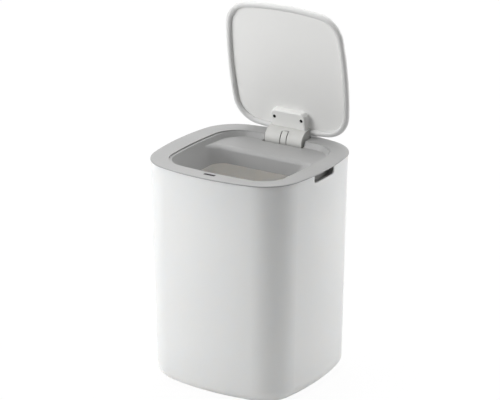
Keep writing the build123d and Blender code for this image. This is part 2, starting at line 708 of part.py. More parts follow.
def make_hinge_bracket():
    """The cover that screws to the lid's panel and carries the drum."""
    outer = block((-BRACKET_HALF_X, BRACKET_HALF_X), (BRACKET_FRONT_Y, BRACKET_BACK_Y),
                  (BRACKET_Z, PANEL_Z))
    outer = fillet(outer.edges().filter_by(Axis.Z).sort_by(Axis.Y)[:2], BRACKET_CORNER_R)
    face_edges = [edge for edge in outer.faces().sort_by(Axis.Z)[0].edges()
                  if edge.center().Y < BRACKET_BACK_Y - 0.5]
    outer = fillet(face_edges, BRACKET_EDGE_R)
    room = block((-BRACKET_HALF_X + BRACKET_WALL, BRACKET_HALF_X - BRACKET_WALL),
                 (BRACKET_FRONT_Y + BRACKET_WALL, BRACKET_BACK_Y - BRACKET_WALL),
                 (BRACKET_Z + BRACKET_WALL * 1.5, PANEL_Z))
    room = fillet(room.edges().filter_by(Axis.Z), BRACKET_CORNER_R - BRACKET_WALL)
    for x in (-SCREW_X, SCREW_X):
        room -= rod_z(x, SCREW_Y, (BRACKET_Z, PANEL_Z), SCREW_HEAD_R + BRACKET_WALL)
    bracket = outer - room
    for x in (-SCREW_X, SCREW_X):
        bracket -= rod_z(x, SCREW_Y, (BRACKET_Z - CUT, BRACKET_Z + SCREW_HEAD_H),
                         SCREW_HEAD_R + RUNNING_GAP * 2)
        bracket -= rod_z(x, SCREW_Y, (BRACKET_Z, PANEL_Z + CUT), SCREW_SHANK_R + RUNNING_GAP)
    return bracket


def make_bracket_screws():
    screws = []
    for x in (-SCREW_X, SCREW_X):
        head_low = BRACKET_Z + SCREW_HEAD_SUNK
        head_top = BRACKET_Z + SCREW_HEAD_H
        screw = rod_z(x, SCREW_Y, (head_low, head_top), SCREW_HEAD_R)
        screw = fillet(screw.edges().sort_by(Axis.Z)[0], SCREW_HEAD_H / 4)
        for length, width in ((SCREW_HEAD_R, SCREW_SLOT), (SCREW_SLOT, SCREW_HEAD_R)):
            screw -= Pos(x, SCREW_Y, head_low) * Box(length, width, SCREW_HEAD_H * 0.8)
        screw += rod_z(x, SCREW_Y, (head_top, PANEL_Z + LID_THICKNESS / 2 - LID_SKIN), SCREW_SHANK_R)
        screws.append(screw)
    return group(screws)


def drum_sector(radius, start, end, x):
    """A slice of a cylinder about the hinge, from start to end degrees in the Y-Z plane."""
    middle = (start + end) / 2
    points = [step_from(HINGE, angle, radius) for angle in (start, middle, end)]
    arc = ThreePointArc(*[(x[0], py, pz) for py, pz in points])
    sides = Polyline((x[0], *points[2]), (x[0], *HINGE), (x[0], *points[0]))
    return extrude(make_face(arc.edges() + sides.edges()), x[1] - x[0], dir=(1, 0, 0))


def make_hinge_drum():
    """The drum that shows under the bracket, the barrel round the shaft, and the arm to the lid."""
    x = (-DRUM_HALF_X, DRUM_HALF_X)
    drum = drum_sector(DRUM_R, 180, 180 + DRUM_ARC, x)
    arm = block(x, (DRUM_FRONT_Y, HINGE_Y - BARREL_R * 0.6), (HINGE_Z, PANEL_Z))
    drum = drum + arm + rod_x(HINGE, x, BARREL_R)
    low = PANEL_Z - LID_THICKNESS / 2 - ARM_HALF_GAP
    rim = prism(lid_outline(low, ARM_HALF_GAP), LID_THICKNESS + ARM_HALF_GAP * 2)
    rim = fillet(rim.faces().sort_by(Axis.Z)[0].edges(), LID_EDGE_R)
    rim -= prism(lid_outline(low, -LID_THICKNESS - ARM_HALF_GAP), LID_THICKNESS * 2)
    drum -= rim
    drum -= block(x, (LID_BACK_Y - LID_EDGE_R, HINGE_Y), (low, PANEL_Z + CUT))
    start = 180 + TONGUE_TOP_ANGLE
    for side in (-1, 1):
        middle = side * (TONGUE_HALF_X + TONGUE_SLIT / 2)
        slit_x = (middle - TONGUE_SLIT / 2, middle + TONGUE_SLIT / 2)
        slit = drum_sector(DRUM_R + CUT, start, 180 + DRUM_ARC + SLIT_ARC, slit_x)
        slit -= rod_x(HINGE, slit_x, DRUM_R - TONGUE_SLIT_DEPTH)
        drum -= slit
    top_slit_x = (-TONGUE_HALF_X / 2, TONGUE_HALF_X + TONGUE_SLIT)
    top_slit = drum_sector(DRUM_R + CUT, start - TOP_SLIT_ARC, start, top_slit_x)
    top_slit -= rod_x(HINGE, (-TONGUE_HALF_X, TONGUE_HALF_X * 2), DRUM_R - TONGUE_SLIT_DEPTH)
    drum -= top_slit
    drum -= rod_x(HINGE, (-DRUM_HALF_X - CUT, DRUM_HALF_X + CUT), SHAFT_R)
    return drum


def make_hinge_shaft():
    reach = EAR_X + EAR_THICKNESS + BUSH_FLANGE
    return rod_x(HINGE, (-reach - SHAFT_R, SECTOR_X[1] + SHAFT_END), SHAFT_R)


def make_shaft_clip():
    """A ring pressed on the shaft's free end, outside the left ear."""
    outer = -EAR_X - EAR_THICKNESS - BUSH_FLANGE - SLIP_GAP
    ring_x = (outer - CLIP_H, outer)
    return rod_x(HINGE, ring_x, SHAFT_R * 1.7) - rod_x(HINGE, ring_x, SHAFT_R)


def make_hinge_bushes():
    bushes = []
    for side in (-1, 1):
        inner = EAR_X - BUSH_FLANGE
        outer = EAR_X + EAR_THICKNESS + BUSH_FLANGE
        sleeve_x = sorted((side * EAR_X, side * outer))
        flange_x = sorted((side * (EAR_X + EAR_THICKNESS), side * outer))
        bush = rod_x(HINGE, sleeve_x, BUSH_R) + rod_x(HINGE, flange_x, BUSH_FLANGE_R)
        bore_x = sorted((side * inner, side * (outer + CUT)))
        bushes.append(bush - rod_x(HINGE, bore_x, SHAFT_R + RUNNING_GAP))
    return group(bushes)


# Gears

def tooth_ring(centre, teeth, module, x, tooth_angle, first=0, last=None):
    """A gear's rim as one outline, with a tooth that points along tooth_angle."""
    last = teeth - 1 if last is None else last
    pitch = 360.0 / teeth
    radius = gear_radius(teeth, module)
    root, tip = radius - DEDENDUM * module, radius + ADDENDUM * module
    corners = [(root, -TOOTH_ROOT_SHARE / 2), (tip, -TOOTH_TIP_SHARE / 2), (tip, TOOTH_TIP_SHARE / 2),
               (root, TOOTH_ROOT_SHARE / 2)]
    points = []
    for tooth in range(first, last + 1):
        for reach, share in corners:
            points.append(step_from(centre, tooth_angle + (tooth + share) * pitch, reach))
    if last - first + 1 < teeth:
        points.append(centre)
    return side_profile(points, x)


def make_sector_gear():
    """Part of a gear on the lid's shaft, as long as the lid's swing needs."""
    pitch = 360.0 / SECTOR_TEETH
    forward = floor((LID_OPEN_ANGLE + SECTOR_MARGIN) / pitch)
    spare = 1
    gear = tooth_ring(HINGE, SECTOR_TEETH, SECTOR_MODULE, SECTOR_X, SECTOR_TO_B_ANGLE, -forward, spare)
    gear += rod_x(HINGE, SECTOR_X, SHAFT_R * 2)
    return gear - rod_x(HINGE, (SECTOR_X[0] - CUT, SECTOR_X[1] + CUT), SHAFT_R)


def compound_gear(centre, small, large, hub_x):
    """Two toothed rims on one hub: each is (teeth, module, x, tooth_angle)."""
    gear = tooth_ring(centre, *small) + tooth_ring(centre, *large) + rod_x(centre, hub_x, GEAR_HUB_R)
    return gear - rod_x(centre, (hub_x[0] - CUT, hub_x[1] + CUT), AXLE_R + RUNNING_GAP)


def gap_angle(direction, teeth):
    """Where a gear has a tooth, if it has a gap facing back along direction."""
    return direction + 180 + 180.0 / teeth


def make_gear_b():
    small = (PINION_TEETH, SECTOR_MODULE, SECTOR_X, gap_angle(SECTOR_TO_B_ANGLE, PINION_TEETH))
    large = (SECOND_TEETH, SECTOR_MODULE, STAGE_B_X, B_TO_A_ANGLE)
    hub_x = (GEARBOX_X[0] + GEARBOX_PLATE + SEAT_GAP, STAGE_B_X[1] + SEAT_GAP)
    return compound_gear(GEAR_B, small, large, hub_x)


def make_gear_a():
    small = (PINION_TEETH, SECTOR_MODULE, STAGE_B_X, gap_angle(B_TO_A_ANGLE, PINION_TEETH))
    large = (THIRD_TEETH, THIRD_MODULE, STAGE_A_X, A_TO_MOTOR_ANGLE)
    hub_x = (STAGE_B_X[0] - SEAT_GAP, GEARBOX_X[1] - GEARBOX_PLATE - SEAT_GAP)
    return compound_gear(GEAR_A, small, large, hub_x)


def make_motor_pinion():
    """The small gear, with the shaft that turns it out of the motor."""
    angle = gap_angle(A_TO_MOTOR_ANGLE, PINION_TEETH)
    gear = tooth_ring(MOTOR, PINION_TEETH, THIRD_MODULE, STAGE_A_X, angle)
    return gear + rod_x(MOTOR, (STAGE_A_X[1] - CUT, GEARBOX_X[1] + MOTOR_LENGTH / 2), MOTOR_SHAFT_R)


def make_gear_axles():
    axles = []
    for centre in (GEAR_A, GEAR_B):
        axles.append(rod_x(centre, (GEARBOX_X[0], GEARBOX_X[1]), AXLE_R))
    return group(axles)


def gearbox_plate(x):
    return block(x, GEARBOX_Y, (TRAY_INSIDE_Z, GEARBOX_TOP_Z))


def make_gearbox_frame():
    inner_x = (GEARBOX_X[0], GEARBOX_X[0] + GEARBOX_PLATE)
    outer_x = (GEARBOX_X[1] - GEARBOX_PLATE, GEARBOX_X[1])
    frame = gearbox_plate(inner_x)
    frame += block((GEARBOX_X[0], outer_x[0]), GEARBOX_Y, (TRAY_INSIDE_Z, TRAY_INSIDE_Z + GEARBOX_BASE))
    for spot in POST_SPOTS:
        frame += rod_x(spot, (inner_x[0], outer_x[0]), POST_R)
        frame -= rod_x(spot, (outer_x[0] - SCREW_HEAD_H * 3, outer_x[0] + CUT), GEARBOX_SCREW_R)
    for centre in (GEAR_A, GEAR_B):
        frame -= rod_x(centre, (inner_x[0] - CUT, inner_x[1] + CUT), AXLE_R)
    return frame


def make_gearbox_cover():
    outer_x = (GEARBOX_X[1] - GEARBOX_PLATE, GEARBOX_X[1])
    through = (outer_x[0] - CUT, outer_x[1] + CUT)
    cover = gearbox_plate(outer_x)
    for spot in POST_SPOTS:
        cover -= rod_x(spot, through, GEARBOX_SCREW_R)
    for centre in (GEAR_A, GEAR_B):
        cover -= rod_x(centre, through, AXLE_R)
    return cover - rod_x(MOTOR, through, MOTOR_SHAFT_R * 3)


def make_gearbox_screws():
    outer = GEARBOX_X[1]
    screws = []
    for spot in POST_SPOTS:
        head = rod_x(spot, (outer, outer + SCREW_HEAD_H / 2), SCREW_HEAD_R * 0.7)
        screws.append(head + rod_x(spot, (outer - GEARBOX_PLATE * 3, outer), GEARBOX_SCREW_R))
    return group(screws)


# Motor

def motor_form(x, radius, height):
    flats = block(x, (MOTOR[0] - radius, MOTOR[0] + radius),
                  (MOTOR[1] - height / 2, MOTOR[1] + height / 2))
    return rod_x(MOTOR, x, radius) & flats


def make_motor_can():
    start = GEARBOX_X[1]
    can = motor_form((start, start + MOTOR_LENGTH - MOTOR_CAP), MOTOR_WIDTH / 2, MOTOR_HEIGHT)
    return can - rod_x(MOTOR, (start - CUT, start + MOTOR_LENGTH), MOTOR_SHAFT_R + RUNNING_GAP)


def make_motor_end_cap():
    end = GEARBOX_X[1] + MOTOR_LENGTH
    cap = motor_form((end - MOTOR_CAP, end), MOTOR_WIDTH / 2, MOTOR_HEIGHT)
    return cap + rod_x(MOTOR, (end, end + MOTOR_BOSS_H), MOTOR_SHAFT_R * 3)


def terminal_spots():
    return [(MOTOR[0], MOTOR[1] - MOTOR_HEIGHT / 3), (MOTOR[0], MOTOR[1] + MOTOR_HEIGHT / 3)]


def make_motor_terminals():
    end = GEARBOX_X[1] + MOTOR_LENGTH
    half = TERMINAL_H / 2
    reach = TERMINAL_LENGTH / 2
    return group([block((end, end + TERMINAL_LENGTH), (y - half, y + half), (z - reach, z + reach))
                  for y, z in terminal_spots()])


# Tray, board and batteries

def door_opening(grow):
    back = DOOR_PIN_Y + DOOR_TAIL * 2 + grow * 2
    return block((BOX_LEFT_X - grow, BOX_RIGHT_X + grow), (BOX_FRONT_Y - grow, back),
                 (TRAY_FLOOR_Z - CUT, TRAY_INSIDE_Z + CUT))


def make_drive_tray():
    """The housing under the shelf: an open tray shaped to the back of the body."""
    fit = -BODY_WALL - TRAY_BODY_GAP
    outside = prism(body_outline(TRAY_FLOOR_Z, fit), TRAY_TOP_Z - TRAY_FLOOR_Z)
    inside = prism(body_outline(TRAY_FLOOR_Z, fit - TRAY_WALL), TRAY_TOP_Z - TRAY_FLOOR_Z)
    reach = BODY_HALF_Y
    outside = outside & block((-TRAY_HALF_X, TRAY_HALF_X), (TRAY_FRONT_Y, reach),
                              (TRAY_FLOOR_Z, TRAY_TOP_Z))
    inner_half_x = TRAY_HALF_X - TRAY_WALL
    inside = inside & block((-inner_half_x, inner_half_x), (TRAY_FRONT_Y + TRAY_WALL, reach),
                            (TRAY_FLOOR_Z, TRAY_TOP_Z))
    tray = outside - chute(COLLAR_WALL + SLIP_GAP) - Pos(0, 0, TRAY_WALL) * inside
    tray -= block((-TRAY_HALF_X, TRAY_HALF_X), (TRAY_BACK_WALL_Y, reach),
                  (TRAY_BACK_WALL_Z, TRAY_TOP_Z + CUT))
    for x, y in BOSS_SPOTS:
        tray -= rod_z(x, y, (TRAY_FLOOR_Z - CUT, TRAY_INSIDE_Z + CUT), SCREW_SHANK_R + RUNNING_GAP)
    tray -= door_opening(SEAT_GAP)
    for x in (BOX_LEFT_X - DOOR_RIB, BOX_RIGHT_X + SEAT_GAP * 2):
        rib = block((x, x + DOOR_RIB - SEAT_GAP * 2),
                    (DOOR_PIN_Y - DOOR_PIN_R * 2, DOOR_PIN_Y + DOOR_PIN_R * 2),
                    (TRAY_INSIDE_Z - CUT, DOOR_PIN_Z + DOOR_PIN_R * 2))
        tray += rib - rod_x((DOOR_PIN_Y, DOOR_PIN_Z), (x - CUT, x + DOOR_RIB), DOOR_PIN_R + RUNNING_GAP)
    for x, y in board_corners():
        tray += rod_z(x, y, (TRAY_INSIDE_Z, BOARD_Z), STANDOFF_R)
    tray -= slider_way(TRAY_FLOOR_Z - CUT, TRAY_INSIDE_Z + CUT)
    return tray - cable_notch()


def cable_notch():
    reach = SENSOR_CABLE_R * 2.6
    return block((TRAY_HALF_X - TRAY_WALL * 2, TRAY_HALF_X + CUT),
                 (CABLE_IN_Y - reach, CABLE_IN_Y + reach), (CABLE_IN_Z - reach, TRAY_TOP_Z + CUT))


def make_tray_screws():
    screws = []
    for x, y in BOSS_SPOTS:
        head = rod_z(x, y, (TRAY_FLOOR_Z - SCREW_HEAD_H / 2, TRAY_FLOOR_Z), SCREW_HEAD_R)
        screws.append(head + rod_z(x, y, (TRAY_FLOOR_Z, TRAY_FLOOR_Z + SCREW_HEAD_H * 4), SCREW_SHANK_R))
    return group(screws)


def board_corners():
    inset = STANDOFF_R + BOARD_MARGIN
    return [(x, y) for x in (BOARD_X[0] + inset, BOARD_X[1] - inset)
            for y in (BOARD_Y[0] + inset, BOARD_Y[1] - inset)]


def make_control_board():
    return block(BOARD_X, BOARD_Y, (BOARD_Z, BOARD_Z + BOARD_H))


def on_board(x, behind, length, width, height):
    y = BOARD_Y[0] + behind
    top = BOARD_Z + BOARD_H
    return block((x, x + length), (y, y + width), (top, top + height))


def make_board_chips():
    return group([on_board(*chip) for chip in CHIPS])


def make_board_capacitors():
    top = BOARD_Z + BOARD_H
    return group([rod_z(x, BOARD_Y[0] + behind, (top, top + height), radius)
                  for x, behind, radius, height in CAPACITORS])


def make_board_connectors():
    """Sockets for the sensor, the motor, the battery and the switch."""
    return group([on_board(*connector) for connector in CONNECTORS])


def make_battery_box():
    """A frame open below, so the cells come out through the door."""
    top = CELL_Z + CELL_R + SLIP_GAP
    frame = block((BOX_LEFT_X, BOX_RIGHT_X), (BOX_FRONT_Y, BOX_BACK_Y),
                  (TRAY_INSIDE_Z + SLIP_GAP, top + BOX_WALL))
    room = block((BOX_LEFT_X + BOX_WALL, BOX_RIGHT_X - BOX_WALL),
                 (BOX_FRONT_Y + BOX_WALL, BOX_BACK_Y - BOX_WALL), (TRAY_FLOOR_Z, top))
    box = frame - room
    lug_length = DOOR_RIB * 4
    for x in (BOX_LEFT_X - DOOR_RIB, BOX_RIGHT_X):
        for y in (BOX_FRONT_Y, BOX_BACK_Y - lug_length):
            box += block((x, x + DOOR_RIB), (y, y + lug_length),
                         (TRAY_INSIDE_Z, TRAY_INSIDE_Z + BOX_WALL))
    return box


def cell_x():
    return [CELL_LEFT_X + index * CELL_PITCH for index in range(CELL_COUNT)]


def make_battery_cells():
    cells = []
    for x in cell_x():
        can = Cylinder(CELL_R, CELL_LENGTH, align=(Align.CENTER, Align.CENTER, Align.MIN))
        cells.append(Pos(x, CELL_FRONT_Y, CELL_Z) * Rot(-90, 0, 0) * can)
    return group(cells)


def make_battery_contacts():
    """Spring plates at both ends of each cell."""
    plates = []
    for x in cell_x():
        for y in (CELL_FRONT_Y - CONTACT_H, CELL_FRONT_Y + CELL_LENGTH):
            plates.append(block((x - CONTACT_HALF, x + CONTACT_HALF), (y, y + CONTACT_H),
                                (CELL_Z - CONTACT_HALF, CELL_Z + CONTACT_HALF)))
    return group(plates)


def make_battery_door():
    low = TRAY_FLOOR_Z
    door = block((BOX_LEFT_X, BOX_RIGHT_X), (BOX_FRONT_Y, DOOR_PIN_Y + DOOR_TAIL),
                 (low, low + DOOR_THICKNESS))
    for side in (-1, 1):
        edge = BOX_LEFT_X if side < 0 else BOX_RIGHT_X
        ear_span = sorted((edge, edge - side * DOOR_EAR))
        door += block(ear_span, (DOOR_PIN_Y - DOOR_TAIL, DOOR_PIN_Y + DOOR_TAIL),
                      (low, DOOR_PIN_Z + DOOR_PIN_R * 1.5))
        pin_span = sorted((edge - side * 0.5, edge + side * DOOR_PIN_REACH))
        door += rod_x((DOOR_PIN_Y, DOOR_PIN_Z), pin_span, DOOR_PIN_R)
    grip = block((BOX_LEFT_X + GRIP_INSET, BOX_RIGHT_X - GRIP_INSET),
                 (BOX_FRONT_Y + GRIP_WIDTH, BOX_FRONT_Y + GRIP_WIDTH * 2),
                 (low - CUT, low + DOOR_THICKNESS / 2))
    return door - grip


# Slide switch

def slider_way(low, high):
    """The room that the knob slides in."""
    half_x = SLIDER_LENGTH / 2 + SEAT_GAP
    half_y = SLIDER_WIDTH / 2 + SEAT_GAP
    return block((SWITCH_X - half_x, SWITCH_X + half_x + SWITCH_TRAVEL),
                 (SWITCH_Y - half_y, SWITCH_Y + half_y), (low, high))


def make_switch_body():
    low = TRAY_INSIDE_Z
    half_x = SWITCH_LENGTH / 2
    half_y = SWITCH_WIDTH / 2
    centre = SWITCH_X + SWITCH_TRAVEL / 2
    body = block((centre - half_x, centre + half_x), (SWITCH_Y - half_y, SWITCH_Y + half_y),
                 (low, low + SWITCH_HEIGHT))
    return body - slider_way(low - CUT, low + SWITCH_HEIGHT / 2)


def make_switch_slider():
    half_x = SLIDER_LENGTH / 2
    half_y = SLIDER_WIDTH / 2
    return block((SWITCH_X - half_x, SWITCH_X + half_x), (SWITCH_Y - half_y, SWITCH_Y + half_y),
                 (TRAY_FLOOR_Z - SLIDER_PROUD, TRAY_INSIDE_Z + SWITCH_HEIGHT / 2 - SEAT_GAP))


# Wires

def wire(points, radius):
    """A tube of straight runs joined by arcs as large as the shorter run beside each turn allows."""
    radii = []
    for before, corner, after in zip(points, points[1:], points[2:]):
        first = Vector(*corner) - Vector(*before)
        second = Vector(*after) - Vector(*corner)
        turn = radians(first.get_angle(second))
        shorter = min(first.length, second.length)
        radii.append(0.45 * shorter / tan(turn / 2))
    path = FilletPolyline(*points, radius=radii)
    print("wire: bend radii", [round(r, 1) for r in radii])
    start = Plane(origin=path @ 0, z_dir=path % 0)
    return sweep(start * Circle(radius), path=path)


def make_sensor_cable():
    """From the sensor's board, under the collar's band and along its right side, to the control board."""
    start_z = sensor_board_z() + SENSOR_BOARD_H + SENSOR_CABLE_R + SLIP_GAP
    end_x, end_y = plug_side(1, CONNECTORS[1][3] / 2)
    end_z = BOARD_Z + CABLE_END_LIFT
    points = [(SENSOR_BOARD_HALF_X - CABLE_START, SLIT_Y, start_z),
              (SENSOR_BOARD_HALF_X + RUN_OUT, SLIT_Y, start_z)]
    points += [(x, behind - BODY_HALF_Y, CABLE_Z) for x, behind in CABLE_FRONT]
    points += [(x, HINGE_Y - before, z) for x, before, z in CABLE_BACK]
    points += [(end_x + RUN_IN, end_y + WIRE_SKEW, end_z + WIRE_SKEW * 2), (end_x, end_y, end_z)]
    return wire(points, SENSOR_CABLE_R)


def plug_side(number, along):
    """Where a wire meets the right side of a connector, that far along it."""
    x, behind, length = CONNECTORS[number][:3]
    return (x + length + WIRE_GAP, BOARD_Y[0] + behind + along)


def make_motor_leads():
    leads = []
    start_x = GEARBOX_X[1] + MOTOR_LENGTH + TERMINAL_LENGTH / 2
    end_x, end_y = plug_side(0, LEAD_SPACING * 0.8)
    end_z = BOARD_Z + WIRE_LIFT
    (outer_x, outer_before), (inner_x, inner_before) = MOTOR_LEAD_CORNERS
    for index, (y, z) in enumerate(terminal_spots()):
        aside = index * LEAD_SPACING
        points = [(start_x, y - TERMINAL_H / 2 - WIRE_GAP, z),
                  (start_x - WIRE_SKEW, y - MOTOR_LEAD_DROP, z - WIRE_SKEW),
                  (outer_x, HINGE_Y - outer_before + aside, end_z + WIRE_SKEW + aside),
                  (inner_x, HINGE_Y - inner_before + aside, end_z + WIRE_SKEW),
                  (end_x, end_y + aside, end_z)]
        leads.append(wire(points, LEAD_R))
    return group(leads)


def make_battery_leads():
    leads = []
    start_x = BOX_RIGHT_X + WIRE_GAP
    end_x = CONNECTORS[2][0] - WIRE_GAP
    run = (end_x - start_x) * 0.4
    z = BOARD_Z + WIRE_LIFT
    for index in range(2):
        y = CELL_FRONT_Y + BATTERY_LEAD_FROM + index * LEAD_SPACING
        points = [(start_x, y, z), (start_x + run, y, z), (end_x - run, y - WIRE_SKEW, z),
                  (end_x, y - WIRE_SKEW, z)]
        leads.append(wire(points, LEAD_R))
    return group(leads)


def make_switch_leads():
    leads = []
    end_x, end_y = plug_side(3, LEAD_SPACING / 2)
    end_z = BOARD_Z + WIRE_LIFT
    start_x = SWITCH_X + SWITCH_TRAVEL / 2 - SWITCH_LENGTH / 2 - WIRE_GAP
    start_z = TRAY_INSIDE_Z + SWITCH_HEIGHT - LEAD_R * 2
    for index in range(2):
        aside = index * LEAD_SPACING
        y = SWITCH_Y - LEAD_SPACING + aside
        points = [(start_x, y, start_z), (start_x - SWITCH_LEAD_OUT, y, start_z),
                  (end_x + RUN_IN, end_y + aside, end_z), (end_x, end_y + aside, end_z)]
        leads.append(wire(points, LEAD_R))
    return group(leads)


PIECES = {
    "outer_body": make_outer_body,
    "rubber_feet": make_rubber_feet,
    "collar": make_collar,
    "sensor_window": make_sensor_window,
    "sensor_holder": make_sensor_holder,
    "sensor_board": make_sensor_board,
    "sensor_leds": make_sensor_leds,
    "sensor_cable": make_sensor_cable,
    "hinge_bushes": make_hinge_bushes,
    "gearbox_frame": make_gearbox_frame,
    "gearbox_cover": make_gearbox_cover,
    "gearbox_screws": make_gearbox_screws,
    "gear_axles": make_gear_axles,
    "reduction_gear_a": make_gear_a,
    "reduction_gear_b": make_gear_b,
    "motor_pinion": make_motor_pinion,
    "motor_can": make_motor_can,
    "motor_end_cap": make_motor_end_cap,
    "motor_terminals": make_motor_terminals,
    "motor_leads": make_motor_leads,
    "drive_tray": make_drive_tray,
    "tray_screws": make_tray_screws,
    "control_board": make_control_board,
    "board_chips": make_board_chips,
    "board_capacitors": make_board_capacitors,
    "board_connectors": make_board_connectors,
    "battery_box": make_battery_box,
    "battery_cells": make_battery_cells,
    "battery_contacts": make_battery_contacts,
    "battery_leads": make_battery_leads,
    "battery_door": make_battery_door,
    "switch_body": make_switch_body,
    "switch_leads": make_switch_leads,
    "switch_slider": make_switch_slider,
}

LID_PIECES = {
    "lid_shell": make_lid_shell,
    "lid_inner_panel": make_lid_inner_panel,
    "hinge_bracket": make_hinge_bracket,
    "bracket_screws": make_bracket_screws,
    "hinge_drum": make_hinge_drum,
}

SHAFT_PIECES = {
    "hinge_shaft": make_hinge_shaft,
    "shaft_clip": make_shaft_clip,
    "sector_gear": make_sector_gear,
}


def main():
    os.makedirs("parts", exist_ok=True)
    for name, make in PIECES.items():
        export_step(make(), f"parts/{name}.step")
    for name, make in LID_PIECES.items():
        export_step(swung_open(make()), f"parts/{name}.step")
    for name, make in SHAFT_PIECES.items():
        export_step(make(), f"parts/{name}.step")


main()
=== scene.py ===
import math

import bmesh
import bpy
from bpy.props import FloatProperty, FloatVectorProperty, PointerProperty
from mathutils import Matrix, Vector


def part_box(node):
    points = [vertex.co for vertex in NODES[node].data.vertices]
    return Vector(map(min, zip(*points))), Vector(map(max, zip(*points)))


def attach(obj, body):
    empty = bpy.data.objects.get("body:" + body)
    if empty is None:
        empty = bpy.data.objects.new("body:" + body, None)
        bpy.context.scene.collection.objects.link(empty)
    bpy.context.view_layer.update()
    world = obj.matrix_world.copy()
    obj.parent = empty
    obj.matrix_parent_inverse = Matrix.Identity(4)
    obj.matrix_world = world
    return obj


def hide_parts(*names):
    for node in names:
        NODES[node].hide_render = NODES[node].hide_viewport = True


bl_info = {
    "name": "Sensor Bin Finish",
    "version": (1, 0, 0),
    "blender": (4, 5, 0),
    "location": "View3D > Sidebar > Sensor Bin",
    "description": "Finishes the sensor bin's pieces and sets its studio stage",
    "category": "Object",
}

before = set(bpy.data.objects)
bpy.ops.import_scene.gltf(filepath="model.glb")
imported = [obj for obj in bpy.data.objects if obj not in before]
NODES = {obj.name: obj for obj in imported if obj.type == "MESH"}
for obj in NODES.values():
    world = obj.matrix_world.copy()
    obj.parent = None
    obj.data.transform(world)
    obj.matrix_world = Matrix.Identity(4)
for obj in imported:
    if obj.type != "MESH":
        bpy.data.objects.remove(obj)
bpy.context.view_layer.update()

# Sizes of the pieces, in metres
FOOT_RADIUS = 0.011
FOOT_EDGE = 0.0005
FOOT_GROOVE = 0.0006
DRUM_SLITS = (0.0055, 0.0083)
# Depth into the hinge drum at which the painted shade in its slits starts, and the depth over which it fades
# in
SLIT_SHADE_START = 0.0003
SLIT_SHADE_FADE = 0.0012
CHIP_LIFT = 0.0002
CHIP_EDGE = 0.00015
LEG_PITCH = 0.00127
LEG_HALF_WIDTH = 0.0002
LEG_THICKNESS = 0.00015
LEG_REACH = 0.0009

# Shoulder of a chip's leg, as a share of the chip's height
LEG_SHOULDER = 0.45

# Edges turned by more than this many degrees stay sharp
SMOOTH_ANGLE = 35.0

# Sizes of the stage, in metres
BIN_MIDDLE = (0, 0, 0.21965)
FLOOR_HALF = 6.0
SHADOW_START = 0.2
SHADOW_FADE = 0.3
SOFTBOX_SIZE = 1.4
SOFTBOX_DISTANCE = 2.2
SOFTBOX_AIM = (0, 0, 0.3)

# Share of the floor's shadow that the camera sees, and the strength of its white
SHADOW_SHARE = 0.06
WHITE = 1.01

# Each softbox: its turn from the camera's azimuth and its height angle, in degrees
SOFTBOXES = {
    "side_left": (-78, 24),
    "side_right": (105, 10),
    "front": (0, 27),
    "overhead": (0, 88),
    "rim_left": (-150, 10),
    "back_left": (-120, 45),
    "back_right": (120, 45),
    "back_high": (180, 45),
    "back_low": (180, 10),
}


# Shader maths

class Value:
    """A shader value that adds its own Math nodes when it is used in an expression."""

    def __init__(self, tree, socket):
        self.tree = tree
        self.socket = socket

    def maths(self, operation, *others, clamp=False):
        node = self.tree.nodes.new("ShaderNodeMath")
        node.operation = operation
        node.use_clamp = clamp
        for slot, item in zip(node.inputs, (self,) + others):
            if isinstance(item, Value):
                self.tree.links.new(item.socket, slot)
            else:
                slot.default_value = item
        return Value(self.tree, node.outputs[0])

    def constant(self, number):
        node = self.tree.nodes.new("ShaderNodeValue")
        node.outputs[0].default_value = number
        return Value(self.tree, node.outputs[0])

    def __add__(self, other):
        return self.maths("ADD", other)

    __radd__ = __add__

    def __sub__(self, other):
        return self.maths("SUBTRACT", other)

    def __rsub__(self, other):
        return self.constant(other).maths("SUBTRACT", self)

    def __mul__(self, other):
        return self.maths("MULTIPLY", other)

    __rmul__ = __mul__

    def __truediv__(self, other):
        return self.maths("DIVIDE", other)

    def __pow__(self, other):
        return self.maths("POWER", other)

    def __gt__(self, other):
        return self.maths("GREATER_THAN", other)

    def __lt__(self, other):
        return self.maths("LESS_THAN", other)

    def clamped(self):
        return self.maths("ADD", 0.0, clamp=True)


